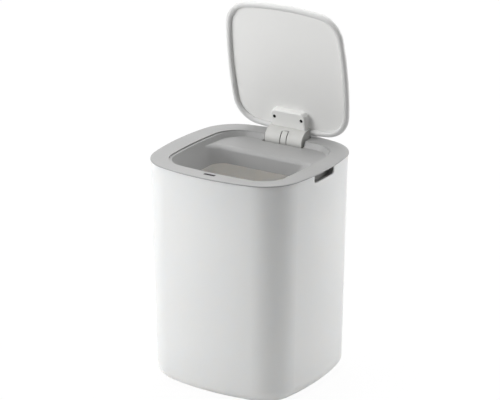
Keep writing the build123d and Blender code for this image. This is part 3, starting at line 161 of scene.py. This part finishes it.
class Finish:
    """One material: its nodes are added and joined by the methods below."""

    def __init__(self, name):
        self.material = bpy.data.materials.new(name)
        self.material.use_nodes = True
        self.tree = self.material.node_tree
        self.tree.nodes.clear()
        self.place = self.node("ShaderNodeTexCoord").outputs["Object"]

    def node(self, kind, settings=None, values=None):
        """Adds a node: its settings first, then numbers, colours or links for its sockets."""
        node = self.tree.nodes.new(kind)
        for key, setting in (settings or {}).items():
            setattr(node, key, setting)
        for key, item in (values or {}).items():
            socket = node.inputs[key]
            if isinstance(item, Value):
                self.tree.links.new(item.socket, socket)
            elif isinstance(item, bpy.types.NodeSocket):
                self.tree.links.new(item, socket)
            else:
                socket.default_value = item
        return node

    def value(self, socket):
        return Value(self.tree, socket)

    def noise(self, scale, detail=3.0, roughness=0.5, stretch=(1.0, 1.0, 1.0)):
        """Soft noise from 0 to 1, scale in cells per metre."""
        place = self.place
        if stretch != (1.0, 1.0, 1.0):
            place = self.node("ShaderNodeMapping", values={"Vector": place, "Scale": stretch}).outputs[0]
        values = {"Vector": place, "Scale": scale, "Detail": detail, "Roughness": roughness}
        node = self.node("ShaderNodeTexNoise", values=values)
        return self.value(node.outputs["Fac"])

    def cells(self, scale):
        node = self.node("ShaderNodeTexVoronoi", values={"Vector": self.place, "Scale": scale})
        return self.value(node.outputs["Distance"])

    def axis(self, name):
        node = self.node("ShaderNodeSeparateXYZ", values={0: self.place})
        return self.value(node.outputs[name])

    def mixed(self, share, first, second, blend="MIX"):
        """A colour between two colours, by a share from 0 to 1."""
        node = self.node("ShaderNodeMix", {"data_type": "RGBA", "blend_type": blend},
                         {0: share, 6: first, 7: second})
        return node.outputs[2]

    def bump(self, height, strength, distance, under=None):
        values = {"Height": height, "Strength": strength, "Distance": distance}
        if under is not None:
            values["Normal"] = under
        return self.node("ShaderNodeBump", values=values).outputs[0]

    def surface(self, color, roughness, normal=None, metallic=0.0, **sockets):
        values = {"Base Color": color, "Roughness": roughness, "Metallic": metallic}
        if normal is not None:
            values["Normal"] = normal
        for key, item in sockets.items():
            values[key.replace("_", " ")] = item
        shader = self.node("ShaderNodeBsdfPrincipled", values=values)
        self.node("ShaderNodeOutputMaterial", values={"Surface": shader.outputs[0]})
        return self.material


def opaque(color):
    return (color[0], color[1], color[2], 1.0)


def shade(color, factor):
    return (color[0] * factor, color[1] * factor, color[2] * factor, 1.0)


def moulded_plastic(name, color, roughness=0.42, grain=2600.0, depth=0.00002, specular=0.5, scatter=0.0):
    """Plastic from a spark-eroded mould: a fine even grain, faint flow clouds and rubbed spots.

    With scatter, light goes that far into the plastic, so some comes through a thin wall.
    """
    finish = Finish(name)
    clouds = finish.noise(9.0, 2.0)
    rubbed = finish.noise(55.0, 4.0, 0.6)
    grains = finish.noise(grain, 2.0, 0.6)
    pores = finish.cells(grain * 0.8)
    tint = finish.mixed(clouds.clamped() * 0.5, shade(color, 0.985), shade(color, 1.01))
    tint = finish.mixed((pores * 0.06).clamped(), tint, shade(color, 0.9))
    rough = rubbed * 0.1 + grains * 0.06 + (roughness - 0.08)
    normal = finish.bump(grains + pores * 0.5, 0.35, depth)
    more = {"Specular IOR Level": specular}
    if scatter > 0:
        more["Subsurface Weight"] = 1.0
        more["Subsurface Radius"] = (1.0, 0.94, 0.88)
        more["Subsurface Scale"] = scatter
    return finish.surface(tint, rough, normal, **more)


def smooth_plastic(name, color, roughness=0.25):
    """A polished moulding: hardly any grain, only wipe marks in the gloss."""
    finish = Finish(name)
    wipes = finish.noise(140.0, 3.0, 0.55, (1.0, 0.25, 1.0))
    waves = finish.noise(30.0, 1.0)
    tint = finish.mixed(waves * 0.4, shade(color, 0.97), shade(color, 1.02))
    normal = finish.bump(waves, 0.1, 0.0002)
    return finish.surface(tint, wipes * 0.12 + (roughness - 0.05), normal)


def soft_rubber(name, color):
    """Moulded rubber with a dull bloom and dust in its grain."""
    finish = Finish(name)
    bloom = finish.noise(90.0, 4.0, 0.6)
    grain = finish.noise(3200.0, 2.0)
    tint = finish.mixed(bloom * 0.5, opaque(color), shade(color, 1.5))
    normal = finish.bump(grain, 0.3, 0.00004)
    return finish.surface(tint, grain * 0.15 + 0.62, normal)


def turned_metal(name, color, roughness=0.28, stretch=(1.0, 24.0, 24.0), grain=420.0):
    """Drawn or turned metal: fine lines along one direction, darker in the grooves."""
    finish = Finish(name)
    lines = finish.noise(grain, 5.0, 0.6, stretch)
    stains = finish.noise(60.0, 3.0)
    tint = finish.mixed((lines * 0.5 + stains * 0.2).clamped(), shade(color, 0.86), shade(color, 1.06))
    normal = finish.bump(lines, 0.12, 0.00005)
    return finish.surface(tint, lines * 0.16 + (roughness - 0.06), normal, metallic=1.0)


def black_oxide(name, color):
    """Blackened screws: dark, half metal, with bright wear on the raised spots."""
    finish = Finish(name)
    wear = (finish.noise(700.0, 4.0, 0.65) - 0.6) * 5.0
    tint = finish.mixed(wear.clamped() * 0.35, opaque(color), (0.35, 0.34, 0.33, 1.0))
    grain = finish.noise(2400.0, 2.0)
    normal = finish.bump(grain, 0.2, 0.00003)
    return finish.surface(tint, grain * 0.2 + 0.3, normal, metallic=0.7)


def printed_board(name, color):
    """Solder mask with tracks and pads under it."""
    finish = Finish(name)
    brick = finish.node("ShaderNodeTexBrick", {"offset": 0.35},
                        {"Vector": finish.place, "Scale": 260.0, "Mortar Size": 0.08})
    tracks = finish.value(brick.outputs["Fac"])
    pads = finish.cells(420.0) < 0.18
    tint = finish.mixed(tracks * 0.55, opaque(color), shade(color, 1.9))
    tint = finish.mixed(pads * 0.7, tint, (0.62, 0.6, 0.55, 1.0))
    normal = finish.bump(tracks, 0.25, 0.00004)
    return finish.surface(tint, 0.34 - pads * 0.06, normal)


def sleeved_cell(name, sleeve, band, low, high, count):
    """A shrunk sleeve in two colours, with bare metal at both ends. Every second cell is turned round."""
    finish = Finish(name)
    forward = (finish.axis("Y") - low[1]) / (high[1] - low[1])
    number = ((finish.axis("X") - low[0]) / ((high[0] - low[0]) / count)).maths("FLOOR")
    turned = number.maths("MODULO", 2.0)
    along = forward + turned * (1.0 - forward * 2.0)
    top = along > 0.66
    bare = (along < 0.012).maths("MAXIMUM", along > 0.955)
    creases = finish.noise(300.0, 4.0, 0.6, (1.0, 0.2, 1.0))
    tint = finish.mixed(top, opaque(sleeve), opaque(band))
    tint = finish.mixed(creases * 0.15, tint, (0.6, 0.6, 0.6, 1.0))
    tint = finish.mixed(bare, tint, (0.72, 0.72, 0.7, 1.0))
    normal = finish.bump(creases, 0.15, 0.0001)
    metallic = bare * 0.6 + 0.4
    return finish.surface(tint, creases * 0.1 + 0.24, normal, metallic=metallic)


# Meshes

def finished(bm, name, body, material):
    """Turns a bmesh into a piece that rides on a body."""
    bmesh.ops.remove_doubles(bm, verts=bm.verts, dist=1e-6)
    bmesh.ops.recalc_face_normals(bm, faces=bm.faces)
    mesh = bpy.data.meshes.new(name)
    bm.to_mesh(mesh)
    bm.free()
    mesh.materials.append(material)
    mesh.shade_smooth()
    mesh.set_sharp_from_angle(angle=math.radians(SMOOTH_ANGLE))
    piece = bpy.data.objects.new(name, mesh)
    bpy.context.scene.collection.objects.link(piece)
    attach(piece, body)
    return piece


def dress(name, material):
    """Gives a CAD node its material."""
    node = NODES[name]
    node.data.materials.clear()
    node.data.materials.append(material)


def spun(bm, profile, centre, axis, steps=32):
    """Spins an open profile of (radius, height) points round an axis through centre."""
    axis = Vector(axis).normalized()
    side = axis.orthogonal().normalized()
    verts = [bm.verts.new(Vector(centre) + side * radius + axis * height) for radius, height in profile]
    edges = [bm.edges.new(pair) for pair in zip(verts, verts[1:])]
    bmesh.ops.spin(bm, geom=verts + edges, cent=centre, axis=axis, dvec=(0, 0, 0), angle=math.tau,
                   steps=steps, use_merge=True, use_duplicate=False)


def chamfered_box(bm, low, high, edge=0.0):
    low, high = Vector(low), Vector(high)
    place = Matrix.Translation((low + high) / 2) @ Matrix.Diagonal((*(high - low), 1.0))
    made = bmesh.ops.create_cube(bm, size=1.0, matrix=place)
    if edge > 0:
        edges = list(dict.fromkeys(e for v in made["verts"] for e in v.link_edges))
        bmesh.ops.bevel(bm, geom=edges, offset=edge, affect="EDGES", segments=2, profile=0.5, material=-1)


def solids_of(name):
    """The (low, high) box of each separate solid in a CAD node, from left to right."""
    bm = bmesh.new()
    bm.from_mesh(NODES[name].data)
    bm.transform(NODES[name].matrix_world)
    bmesh.ops.remove_doubles(bm, verts=bm.verts, dist=1e-5)
    boxes = []
    waiting = set(bm.verts)
    while waiting:
        reached = [waiting.pop()]
        for vert in reached:
            for edge in vert.link_edges:
                other = edge.other_vert(vert)
                if other in waiting:
                    waiting.remove(other)
                    reached.append(other)
        places = [vert.co.copy() for vert in reached]
        low = Vector([min(place[axis] for place in places) for axis in range(3)])
        high = Vector([max(place[axis] for place in places) for axis in range(3)])
        boxes.append((low, high))
    bm.free()
    return sorted(boxes, key=lambda box: (round(box[0].x, 4), round(box[0].y, 4)))


# Colours and stage

def tint_property(name, description, default):
    return FloatVectorProperty(name=name, description=description, subtype="COLOR", size=3, min=0, max=1,
                               default=default)


def power_property(name, description, default):
    return FloatProperty(name=name, description=description, min=0, default=default)


class BinColors(bpy.types.PropertyGroup):
    body: tint_property("Body", "Colour of the outer body", (0.875, 0.875, 0.858))
    collar: tint_property("Collar", "Colour of the collar", (0.38, 0.38, 0.378))
    lid: tint_property("Lid rim", "Colour of the lid's shell", (0.72, 0.72, 0.714))
    panel: tint_property("Lid panel", "Colour of the panel inside the lid", (0.90, 0.90, 0.886))
    hinge: tint_property("Hinge cover", "Colour of the hinge cover", (0.90, 0.90, 0.882))
    drum: tint_property("Hinge drum", "Colour of the hinge drum", (0.62, 0.62, 0.60))
    tray: tint_property("Drive tray", "Colour of the cover under the shelf", (0.5, 0.51, 0.52))
    sleeve: tint_property("Cells", "Colour of the cells' sleeves", (0.04, 0.05, 0.06))
    band: tint_property("Cell band", "Colour of the band near each cell's plus end", (0.5, 0.26, 0.08))


class BinStage(bpy.types.PropertyGroup):
    azimuth: FloatProperty(name="Azimuth", description="Camera's turn round the bin, in degrees",
                           default=32.58)
    elevation: FloatProperty(name="Elevation", description="Camera's height above level, in degrees",
                             default=21.17)
    distance: FloatProperty(name="Distance", description="Camera's distance from the bin's middle",
                            unit="LENGTH", default=4.861)
    lens: FloatProperty(name="Lens", description="Focal length of the camera in millimetres", default=183.2)
    aim: FloatProperty(name="Aim", description="Height above the middle at which the camera points",
                       unit="LENGTH", default=0.1209)
    side_left: power_property("Left", "Power of the softbox on the left", 33.5)
    side_right: power_property("Right", "Power of the softbox on the right", 22.0)
    front: power_property("Front", "Power of the softbox over the camera", 4.0)
    overhead: power_property("Overhead", "Power of the softbox overhead", 24.5)
    rim_left: power_property("Rim left", "Power of the low softbox behind left", 2.5)
    back_left: power_property("Back left", "Power of the high softbox behind left", 7.0)
    back_right: power_property("Back right", "Power of the high softbox behind right", 11.5)
    back_high: power_property("Back high", "Power of the high softbox behind", 12.5)
    back_low: power_property("Back low", "Power of the low softbox behind", 4.5)


def colors():
    return bpy.context.scene.bin_colors


# Pieces

class BIN_OT_body(bpy.types.Operator):
    """Finish the outer body and its feet"""
    bl_idname = "bin.body"
    bl_label = "Body and feet"

    def execute(self, context):
        wall = moulded_plastic("body plastic", colors().body, 0.40, 2400.0, specular=0.2, scatter=0.0058)
        dress("outer_body", wall)
        self.make_feet(soft_rubber("foot rubber", (0.035, 0.035, 0.036)))
        return {"FINISHED"}

    def make_feet(self, rubber):
        """Each foot has a ring groove in its tread."""
        low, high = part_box("rubber_feet")
        radius = FOOT_RADIUS
        tread = low[2]
        groove = tread + FOOT_GROOVE
        profile = [(0.0, high[2]), (radius, high[2]), (radius, tread + FOOT_EDGE),
                   (radius - FOOT_EDGE, tread), (radius * 0.72, tread), (radius * 0.66, groove),
                   (radius * 0.54, groove), (radius * 0.48, tread), (0.0, tread)]
        bm = bmesh.new()
        for x in (low[0] + radius, high[0] - radius):
            for y in (low[1] + radius, high[1] - radius):
                spun(bm, profile, (x, y, 0.0), (0, 0, 1), 40)
        feet = finished(bm, "grooved_feet", "bin", rubber)
        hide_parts("rubber_feet")


class BIN_OT_collar(bpy.types.Operator):
    """Finish the collar and the cover under its shelf"""
    bl_idname = "bin.collar"
    bl_label = "Collar and tray"

    def execute(self, context):
        dress("collar", moulded_plastic("collar plastic", colors().collar, 0.42, 2200.0))
        tray = moulded_plastic("tray plastic", colors().tray, 0.5, 1800.0, 0.00003)
        dress("drive_tray", tray)
        dress("battery_door", tray)
        return {"FINISHED"}


class BIN_OT_sensor(bpy.types.Operator):
    """Finish the sensor's window, holder, board and lamps"""
    bl_idname = "bin.sensor"
    bl_label = "Sensor"

    def execute(self, context):
        dress("sensor_window", moulded_plastic("sensor window", (0.012, 0.008, 0.012), 0.6, specular=0.1))
        dress("sensor_holder", moulded_plastic("sensor holder", (0.03, 0.03, 0.032), 0.5))
        dress("sensor_board", printed_board("sensor board mask", (0.02, 0.13, 0.05)))
        dress("sensor_leds", smooth_plastic("tinted resin", (0.09, 0.10, 0.16), 0.1))
        return {"FINISHED"}


class BIN_OT_lid(bpy.types.Operator):
    """Finish the lid's shell and inner panel"""
    bl_idname = "bin.lid"
    bl_label = "Lid"

    def execute(self, context):
        dress("lid_shell", moulded_plastic("lid plastic", colors().lid, 0.42, 2200.0))
        dress("lid_inner_panel", moulded_plastic("panel plastic", colors().panel, 0.45, 2200.0))
        return {"FINISHED"}


class BIN_OT_hinge(bpy.types.Operator):
    """Finish the hinge: cover, drum, screws, shaft, clip, bushes"""
    bl_idname = "bin.hinge"
    bl_label = "Hinge"

    def execute(self, context):
        dress("hinge_bracket", moulded_plastic("hinge plastic", colors().hinge, 0.4, 2200.0))
        dress("hinge_drum", self.slotted_drum())
        dress("bracket_screws", black_oxide("screw oxide", (0.02, 0.02, 0.022)))
        dress("hinge_shaft", turned_metal("ground steel", (0.55, 0.56, 0.57)))
        dress("shaft_clip", turned_metal("spring steel", (0.28, 0.28, 0.29), 0.35))
        dress("hinge_bushes", smooth_plastic("bush plastic", (0.75, 0.73, 0.66), 0.3))
        return {"FINISHED"}

    def slotted_drum(self):
        """Drum plastic, with painted shade down in the slits beside its tongue."""
        drum_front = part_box("hinge_drum")[0][1]
        shaft_low, shaft_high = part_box("hinge_shaft")
        axis_y = (shaft_low[1] + shaft_high[1]) / 2
        axis_z = (shaft_low[2] + shaft_high[2]) / 2
        radius = axis_y - drum_front
        finish = Finish("drum plastic")
        away_y = finish.axis("Y") - axis_y
        away_z = finish.axis("Z") - axis_z
        depth = radius - (away_y * away_y + away_z * away_z) ** 0.5
        side = finish.axis("X").maths("ABSOLUTE")
        near_slit = (side > DRUM_SLITS[0]) * (side < DRUM_SLITS[1])
        # Painted shade: a mask over the slits beside the tongue, growing darker deeper into the drum
        painted_slit_shade = near_slit * ((depth - SLIT_SHADE_START) / SLIT_SHADE_FADE).clamped()
        clouds = finish.noise(9.0, 2.0)
        grains = finish.noise(2200.0, 2.0, 0.6)
        tint = finish.mixed(clouds.clamped() * 0.5, shade(colors().drum, 0.985), shade(colors().drum, 1.01))
        # Painted shade: the drum's colour darkened to 0.12 under the slit mask
        tint = finish.mixed(painted_slit_shade, tint, shade(colors().drum, 0.12))
        normal = finish.bump(grains, 0.35, 0.00002)
        return finish.surface(tint, grains * 0.06 + 0.4, normal)


class BIN_OT_drive(bpy.types.Operator):
    """Finish the gearbox, gears and motor"""
    bl_idname = "bin.drive"
    bl_label = "Drive"

    def execute(self, context):
        gears = smooth_plastic("gear plastic", (0.78, 0.76, 0.68), 0.3)
        for name in ("sector_gear", "reduction_gear_a", "reduction_gear_b"):
            dress(name, gears)
        housing = moulded_plastic("gearbox plastic", (0.03, 0.03, 0.033), 0.5, 1800.0, 0.00003)
        dress("gearbox_frame", housing)
        dress("gearbox_cover", housing)
        dress("gearbox_screws", black_oxide("gearbox screw oxide", (0.025, 0.025, 0.026)))
        dress("tray_screws", black_oxide("tray screw oxide", (0.025, 0.025, 0.026)))
        dress("gear_axles", turned_metal("axle steel", (0.55, 0.56, 0.57)))
        dress("motor_can", turned_metal("plated steel", (0.5, 0.51, 0.52), 0.32, (1.0, 6.0, 6.0), 300.0))
        dress("motor_end_cap", smooth_plastic("motor cap plastic", (0.72, 0.72, 0.69), 0.35))
        brass = turned_metal("brass", (0.6, 0.42, 0.14), 0.28)
        dress("motor_pinion", brass)
        dress("motor_terminals", brass)
        return {"FINISHED"}


class BIN_OT_electrics(bpy.types.Operator):
    """Finish the control board, batteries, switch and wires"""
    bl_idname = "bin.electrics"
    bl_label = "Electrics"

    def execute(self, context):
        dress("control_board", printed_board("control board mask", (0.02, 0.13, 0.05)))
        self.make_chips(smooth_plastic("chip moulding", (0.012, 0.012, 0.013), 0.42))
        self.make_capacitors(turned_metal("capacitor sleeve", (0.03, 0.04, 0.10), 0.35))
        dress("board_connectors", smooth_plastic("connector plastic", (0.75, 0.73, 0.66), 0.4))
        dress("battery_box", moulded_plastic("battery box plastic", (0.025, 0.025, 0.027), 0.5))
        self.make_cells()
        dress("battery_contacts", turned_metal("nickel plate", (0.62, 0.61, 0.58), 0.22))
        dress("switch_body", moulded_plastic("switch plastic", (0.02, 0.02, 0.021), 0.45))
        dress("switch_slider", moulded_plastic("slider plastic", (0.02, 0.02, 0.021), 0.4))
        dress("sensor_cable", soft_rubber("cable jacket", (0.015, 0.015, 0.016)))
        red = soft_rubber("lead jacket", (0.32, 0.01, 0.008))
        for name in ("motor_leads", "battery_leads", "switch_leads"):
            dress(name, red)
        return {"FINISHED"}

    def make_cells(self):
        """Cells with a plus button, a crimped shoulder and a rolled sleeve edge."""
        cells = solids_of("battery_cells")
        bm = bmesh.new()
        for number, (low, high) in enumerate(cells):
            radius = (high.x - low.x) / 2
            middle = (low + high) / 2
            length = high.y - low.y
            start, way = (low.y, 1.0) if number % 2 == 0 else (high.y, -1.0)
            profile = [(0.0, 0.0), (radius * 0.5, 0.0), (radius * 0.86, 0.0004), (radius * 0.97, 0.0004),
                       (radius, 0.001), (radius, length - 0.0030), (radius * 0.95, length - 0.0020),
                       (radius * 0.42, length - 0.0014), (radius * 0.38, length - 0.0003),
                       (radius * 0.3, length), (0.0, length)]
            spun(bm, profile, (middle.x, start, middle.z), (0, way, 0), 40)
        low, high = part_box("battery_cells")
        sleeve = sleeved_cell("cell sleeve", colors().sleeve, colors().band, low, high, len(cells))
        piece = finished(bm, "sleeved_cells", "top", sleeve)
        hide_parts("battery_cells")

    def make_chips(self, moulding):
        """Chips with rows of legs that bend down to the board."""
        bm = bmesh.new()
        for low, high in solids_of("board_chips"):
            chamfered_box(bm, low + Vector((0, 0, CHIP_LIFT)), high, CHIP_EDGE)
            count = max(3, round((high.x - low.x) / LEG_PITCH) - 1)
            pitch = (high.x - low.x) / (count + 1)
            shoulder = low.z + (high.z - low.z) * LEG_SHOULDER
            for leg in range(1, count + 1):
                left = low.x + leg * pitch - LEG_HALF_WIDTH
                right = low.x + leg * pitch + LEG_HALF_WIDTH
                for edge, out in ((low.y, -1.0), (high.y, 1.0)):
                    tip = edge + out * LEG_REACH
                    bend = edge + out * (LEG_REACH - LEG_THICKNESS)
                    near, far = sorted((edge, tip))
                    chamfered_box(bm, (left, near, shoulder - LEG_THICKNESS), (right, far, shoulder))
                    near, far = sorted((bend, tip))
                    chamfered_box(bm, (left, near, low.z), (right, far, shoulder))
        piece = finished(bm, "legged_chips", "top", moulding)
        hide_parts("board_chips")

    def make_capacitors(self, sleeve):
        """Cans with a crimp near the foot and a dished top."""
        bm = bmesh.new()
        for low, high in solids_of("board_capacitors"):
            radius = (high.x - low.x) / 2
            middle = (low + high) / 2
            tall = high.z - low.z
            profile = [(0.0, 0.0), (radius * 0.93, 0.0), (radius, 0.0004), (radius, tall * 0.14),
                       (radius * 0.9, tall * 0.18), (radius, tall * 0.22), (radius, tall - 0.0005),
                       (radius * 0.93, tall), (radius * 0.8, tall), (radius * 0.76, tall - 0.0003),
                       (0.0, tall - 0.0003)]
            spun(bm, profile, (middle.x, middle.y, low.z), (0, 0, 1), 32)
        piece = finished(bm, "crimped_capacitors", "top", sleeve)
        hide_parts("board_capacitors")


def direction_to(azimuth, elevation):
    """The way from the bin to a place in front of it, turned by azimuth and raised by elevation."""
    around, up = math.radians(azimuth), math.radians(elevation)
    return Vector((math.sin(around) * math.cos(up), -math.cos(around) * math.cos(up), math.sin(up)))


class BIN_OT_stage(bpy.types.Operator):
    """Set the floor, the soft lights and the camera"""
    bl_idname = "bin.stage"
    bl_label = "Stage"

    def execute(self, context):
        context.scene.view_settings.view_transform = "Standard"
        self.make_floor()
        self.make_world(context.scene)
        self.make_lights()
        self.make_camera(context.scene)
        return {"FINISHED"}

    def make_floor(self):
        """Paper that looks white to the camera, apart from the bin's soft shadow."""
        bm = bmesh.new()
        bmesh.ops.create_grid(bm, x_segments=1, y_segments=1, size=FLOOR_HALF)
        mesh = bpy.data.meshes.new("floor")
        bm.to_mesh(mesh)
        bm.free()
        finish = Finish("floor paper")
        seen = finish.value(finish.node("ShaderNodeLightPath").outputs["Is Camera Ray"])
        length = finish.node("ShaderNodeVectorMath", {"operation": "LENGTH"}, {0: finish.place})
        away = ((finish.value(length.outputs["Value"]) - SHADOW_START) / SHADOW_FADE).clamped()
        fibres = finish.noise(900.0, 3.0)
        tint = finish.mixed(fibres * 0.3, (0.86, 0.86, 0.86, 1.0), (0.88, 0.88, 0.88, 1.0))
        paper = finish.node("ShaderNodeBsdfDiffuse", values={"Color": tint})
        white = finish.node("ShaderNodeEmission", values={"Color": (1, 1, 1, 1), "Strength": WHITE})
        share = seen * (away * SHADOW_SHARE + (1.0 - SHADOW_SHARE))
        both = finish.node("ShaderNodeMixShader", values={0: share, 1: paper.outputs[0], 2: white.outputs[0]})
        finish.node("ShaderNodeOutputMaterial", values={"Surface": both.outputs[0]})
        mesh.materials.append(finish.material)
        floor = bpy.data.objects.new("floor", mesh)
        bpy.context.scene.collection.objects.link(floor)

    def make_world(self, scene):
        """White for the camera only, so that the softboxes give all the light."""
        world = bpy.data.worlds.new("studio")
        scene.world = world
        world.use_nodes = True
        tree = world.node_tree
        tree.nodes.clear()
        path = tree.nodes.new("ShaderNodeLightPath")
        backdrop = tree.nodes.new("ShaderNodeBackground")
        backdrop.inputs["Color"].default_value = (1, 1, 1, 1)
        backdrop.inputs["Strength"].default_value = WHITE
        surround = tree.nodes.new("ShaderNodeBackground")
        surround.inputs["Color"].default_value = (1, 1, 1, 1)
        surround.inputs["Strength"].default_value = 0.0
        mix = tree.nodes.new("ShaderNodeMixShader")
        output = tree.nodes.new("ShaderNodeOutputWorld")
        tree.links.new(path.outputs["Is Camera Ray"], mix.inputs[0])
        tree.links.new(surround.outputs[0], mix.inputs[1])
        tree.links.new(backdrop.outputs[0], mix.inputs[2])
        tree.links.new(mix.outputs[0], output.inputs["Surface"])

    def make_lights(self):
        stage = bpy.context.scene.bin_stage
        for name, (turn, height) in SOFTBOXES.items():
            self.add_softbox(name, stage.azimuth + turn, height, getattr(stage, name))

    def add_softbox(self, name, azimuth, elevation, power):
        light = bpy.data.lights.new(name, "AREA")
        light.shape = "SQUARE"
        light.size = SOFTBOX_SIZE
        light.energy = power
        box = bpy.data.objects.new(name, light)
        direction = direction_to(azimuth, elevation)
        box.location = Vector(SOFTBOX_AIM) + direction * SOFTBOX_DISTANCE
        box.rotation_mode = "QUATERNION"
        box.rotation_quaternion = (-direction).to_track_quat("-Z", "Y")
        bpy.context.scene.collection.objects.link(box)

    def make_camera(self, scene):
        stage = scene.bin_stage
        data = bpy.data.cameras.new("camera")
        data.sensor_width = 36.0
        data.lens = stage.lens
        data.clip_start, data.clip_end = 0.1, 40.0
        camera = bpy.data.objects.new("camera", data)
        back = direction_to(stage.azimuth, stage.elevation)
        middle = Vector(BIN_MIDDLE)
        screen_up = Vector((0, 0, 1)) - back * back.z
        screen_up.normalize()
        camera.location = middle + back * stage.distance
        target = middle + screen_up * stage.aim
        camera.rotation_mode = "QUATERNION"
        camera.rotation_quaternion = (target - camera.location).to_track_quat("-Z", "Y")
        scene.collection.objects.link(camera)
        scene.camera = camera


class BIN_PT_finish(bpy.types.Panel):
    """Lists the bin's pieces, colours and stage"""
    bl_idname = "BIN_PT_finish"
    bl_label = "Sensor Bin"
    bl_space_type = "VIEW_3D"
    bl_region_type = "UI"
    bl_category = "Sensor Bin"

    def draw(self, context):
        layout = self.layout
        for group in (context.scene.bin_colors, context.scene.bin_stage):
            for key in group.__annotations__:
                layout.prop(group, key)
        for operator in OPERATORS:
            layout.operator(operator.bl_idname)


OPERATORS = (BIN_OT_body, BIN_OT_collar, BIN_OT_sensor, BIN_OT_lid, BIN_OT_hinge, BIN_OT_drive,
             BIN_OT_electrics, BIN_OT_stage)
CLASSES = (BinColors, BinStage) + OPERATORS + (BIN_PT_finish,)


def register():
    for item in CLASSES:
        bpy.utils.register_class(item)
    bpy.types.Scene.bin_colors = PointerProperty(type=BinColors)
    bpy.types.Scene.bin_stage = PointerProperty(type=BinStage)


def unregister():
    del bpy.types.Scene.bin_colors
    del bpy.types.Scene.bin_stage
    for item in reversed(CLASSES):
        bpy.utils.unregister_class(item)


def main():
    register()
    bpy.ops.bin.body()
    bpy.ops.bin.collar()
    bpy.ops.bin.sensor()
    bpy.ops.bin.lid()
    bpy.ops.bin.hinge()
    bpy.ops.bin.drive()
    bpy.ops.bin.electrics()
    bpy.ops.bin.stage()


if __name__ == "__main__":
    main()
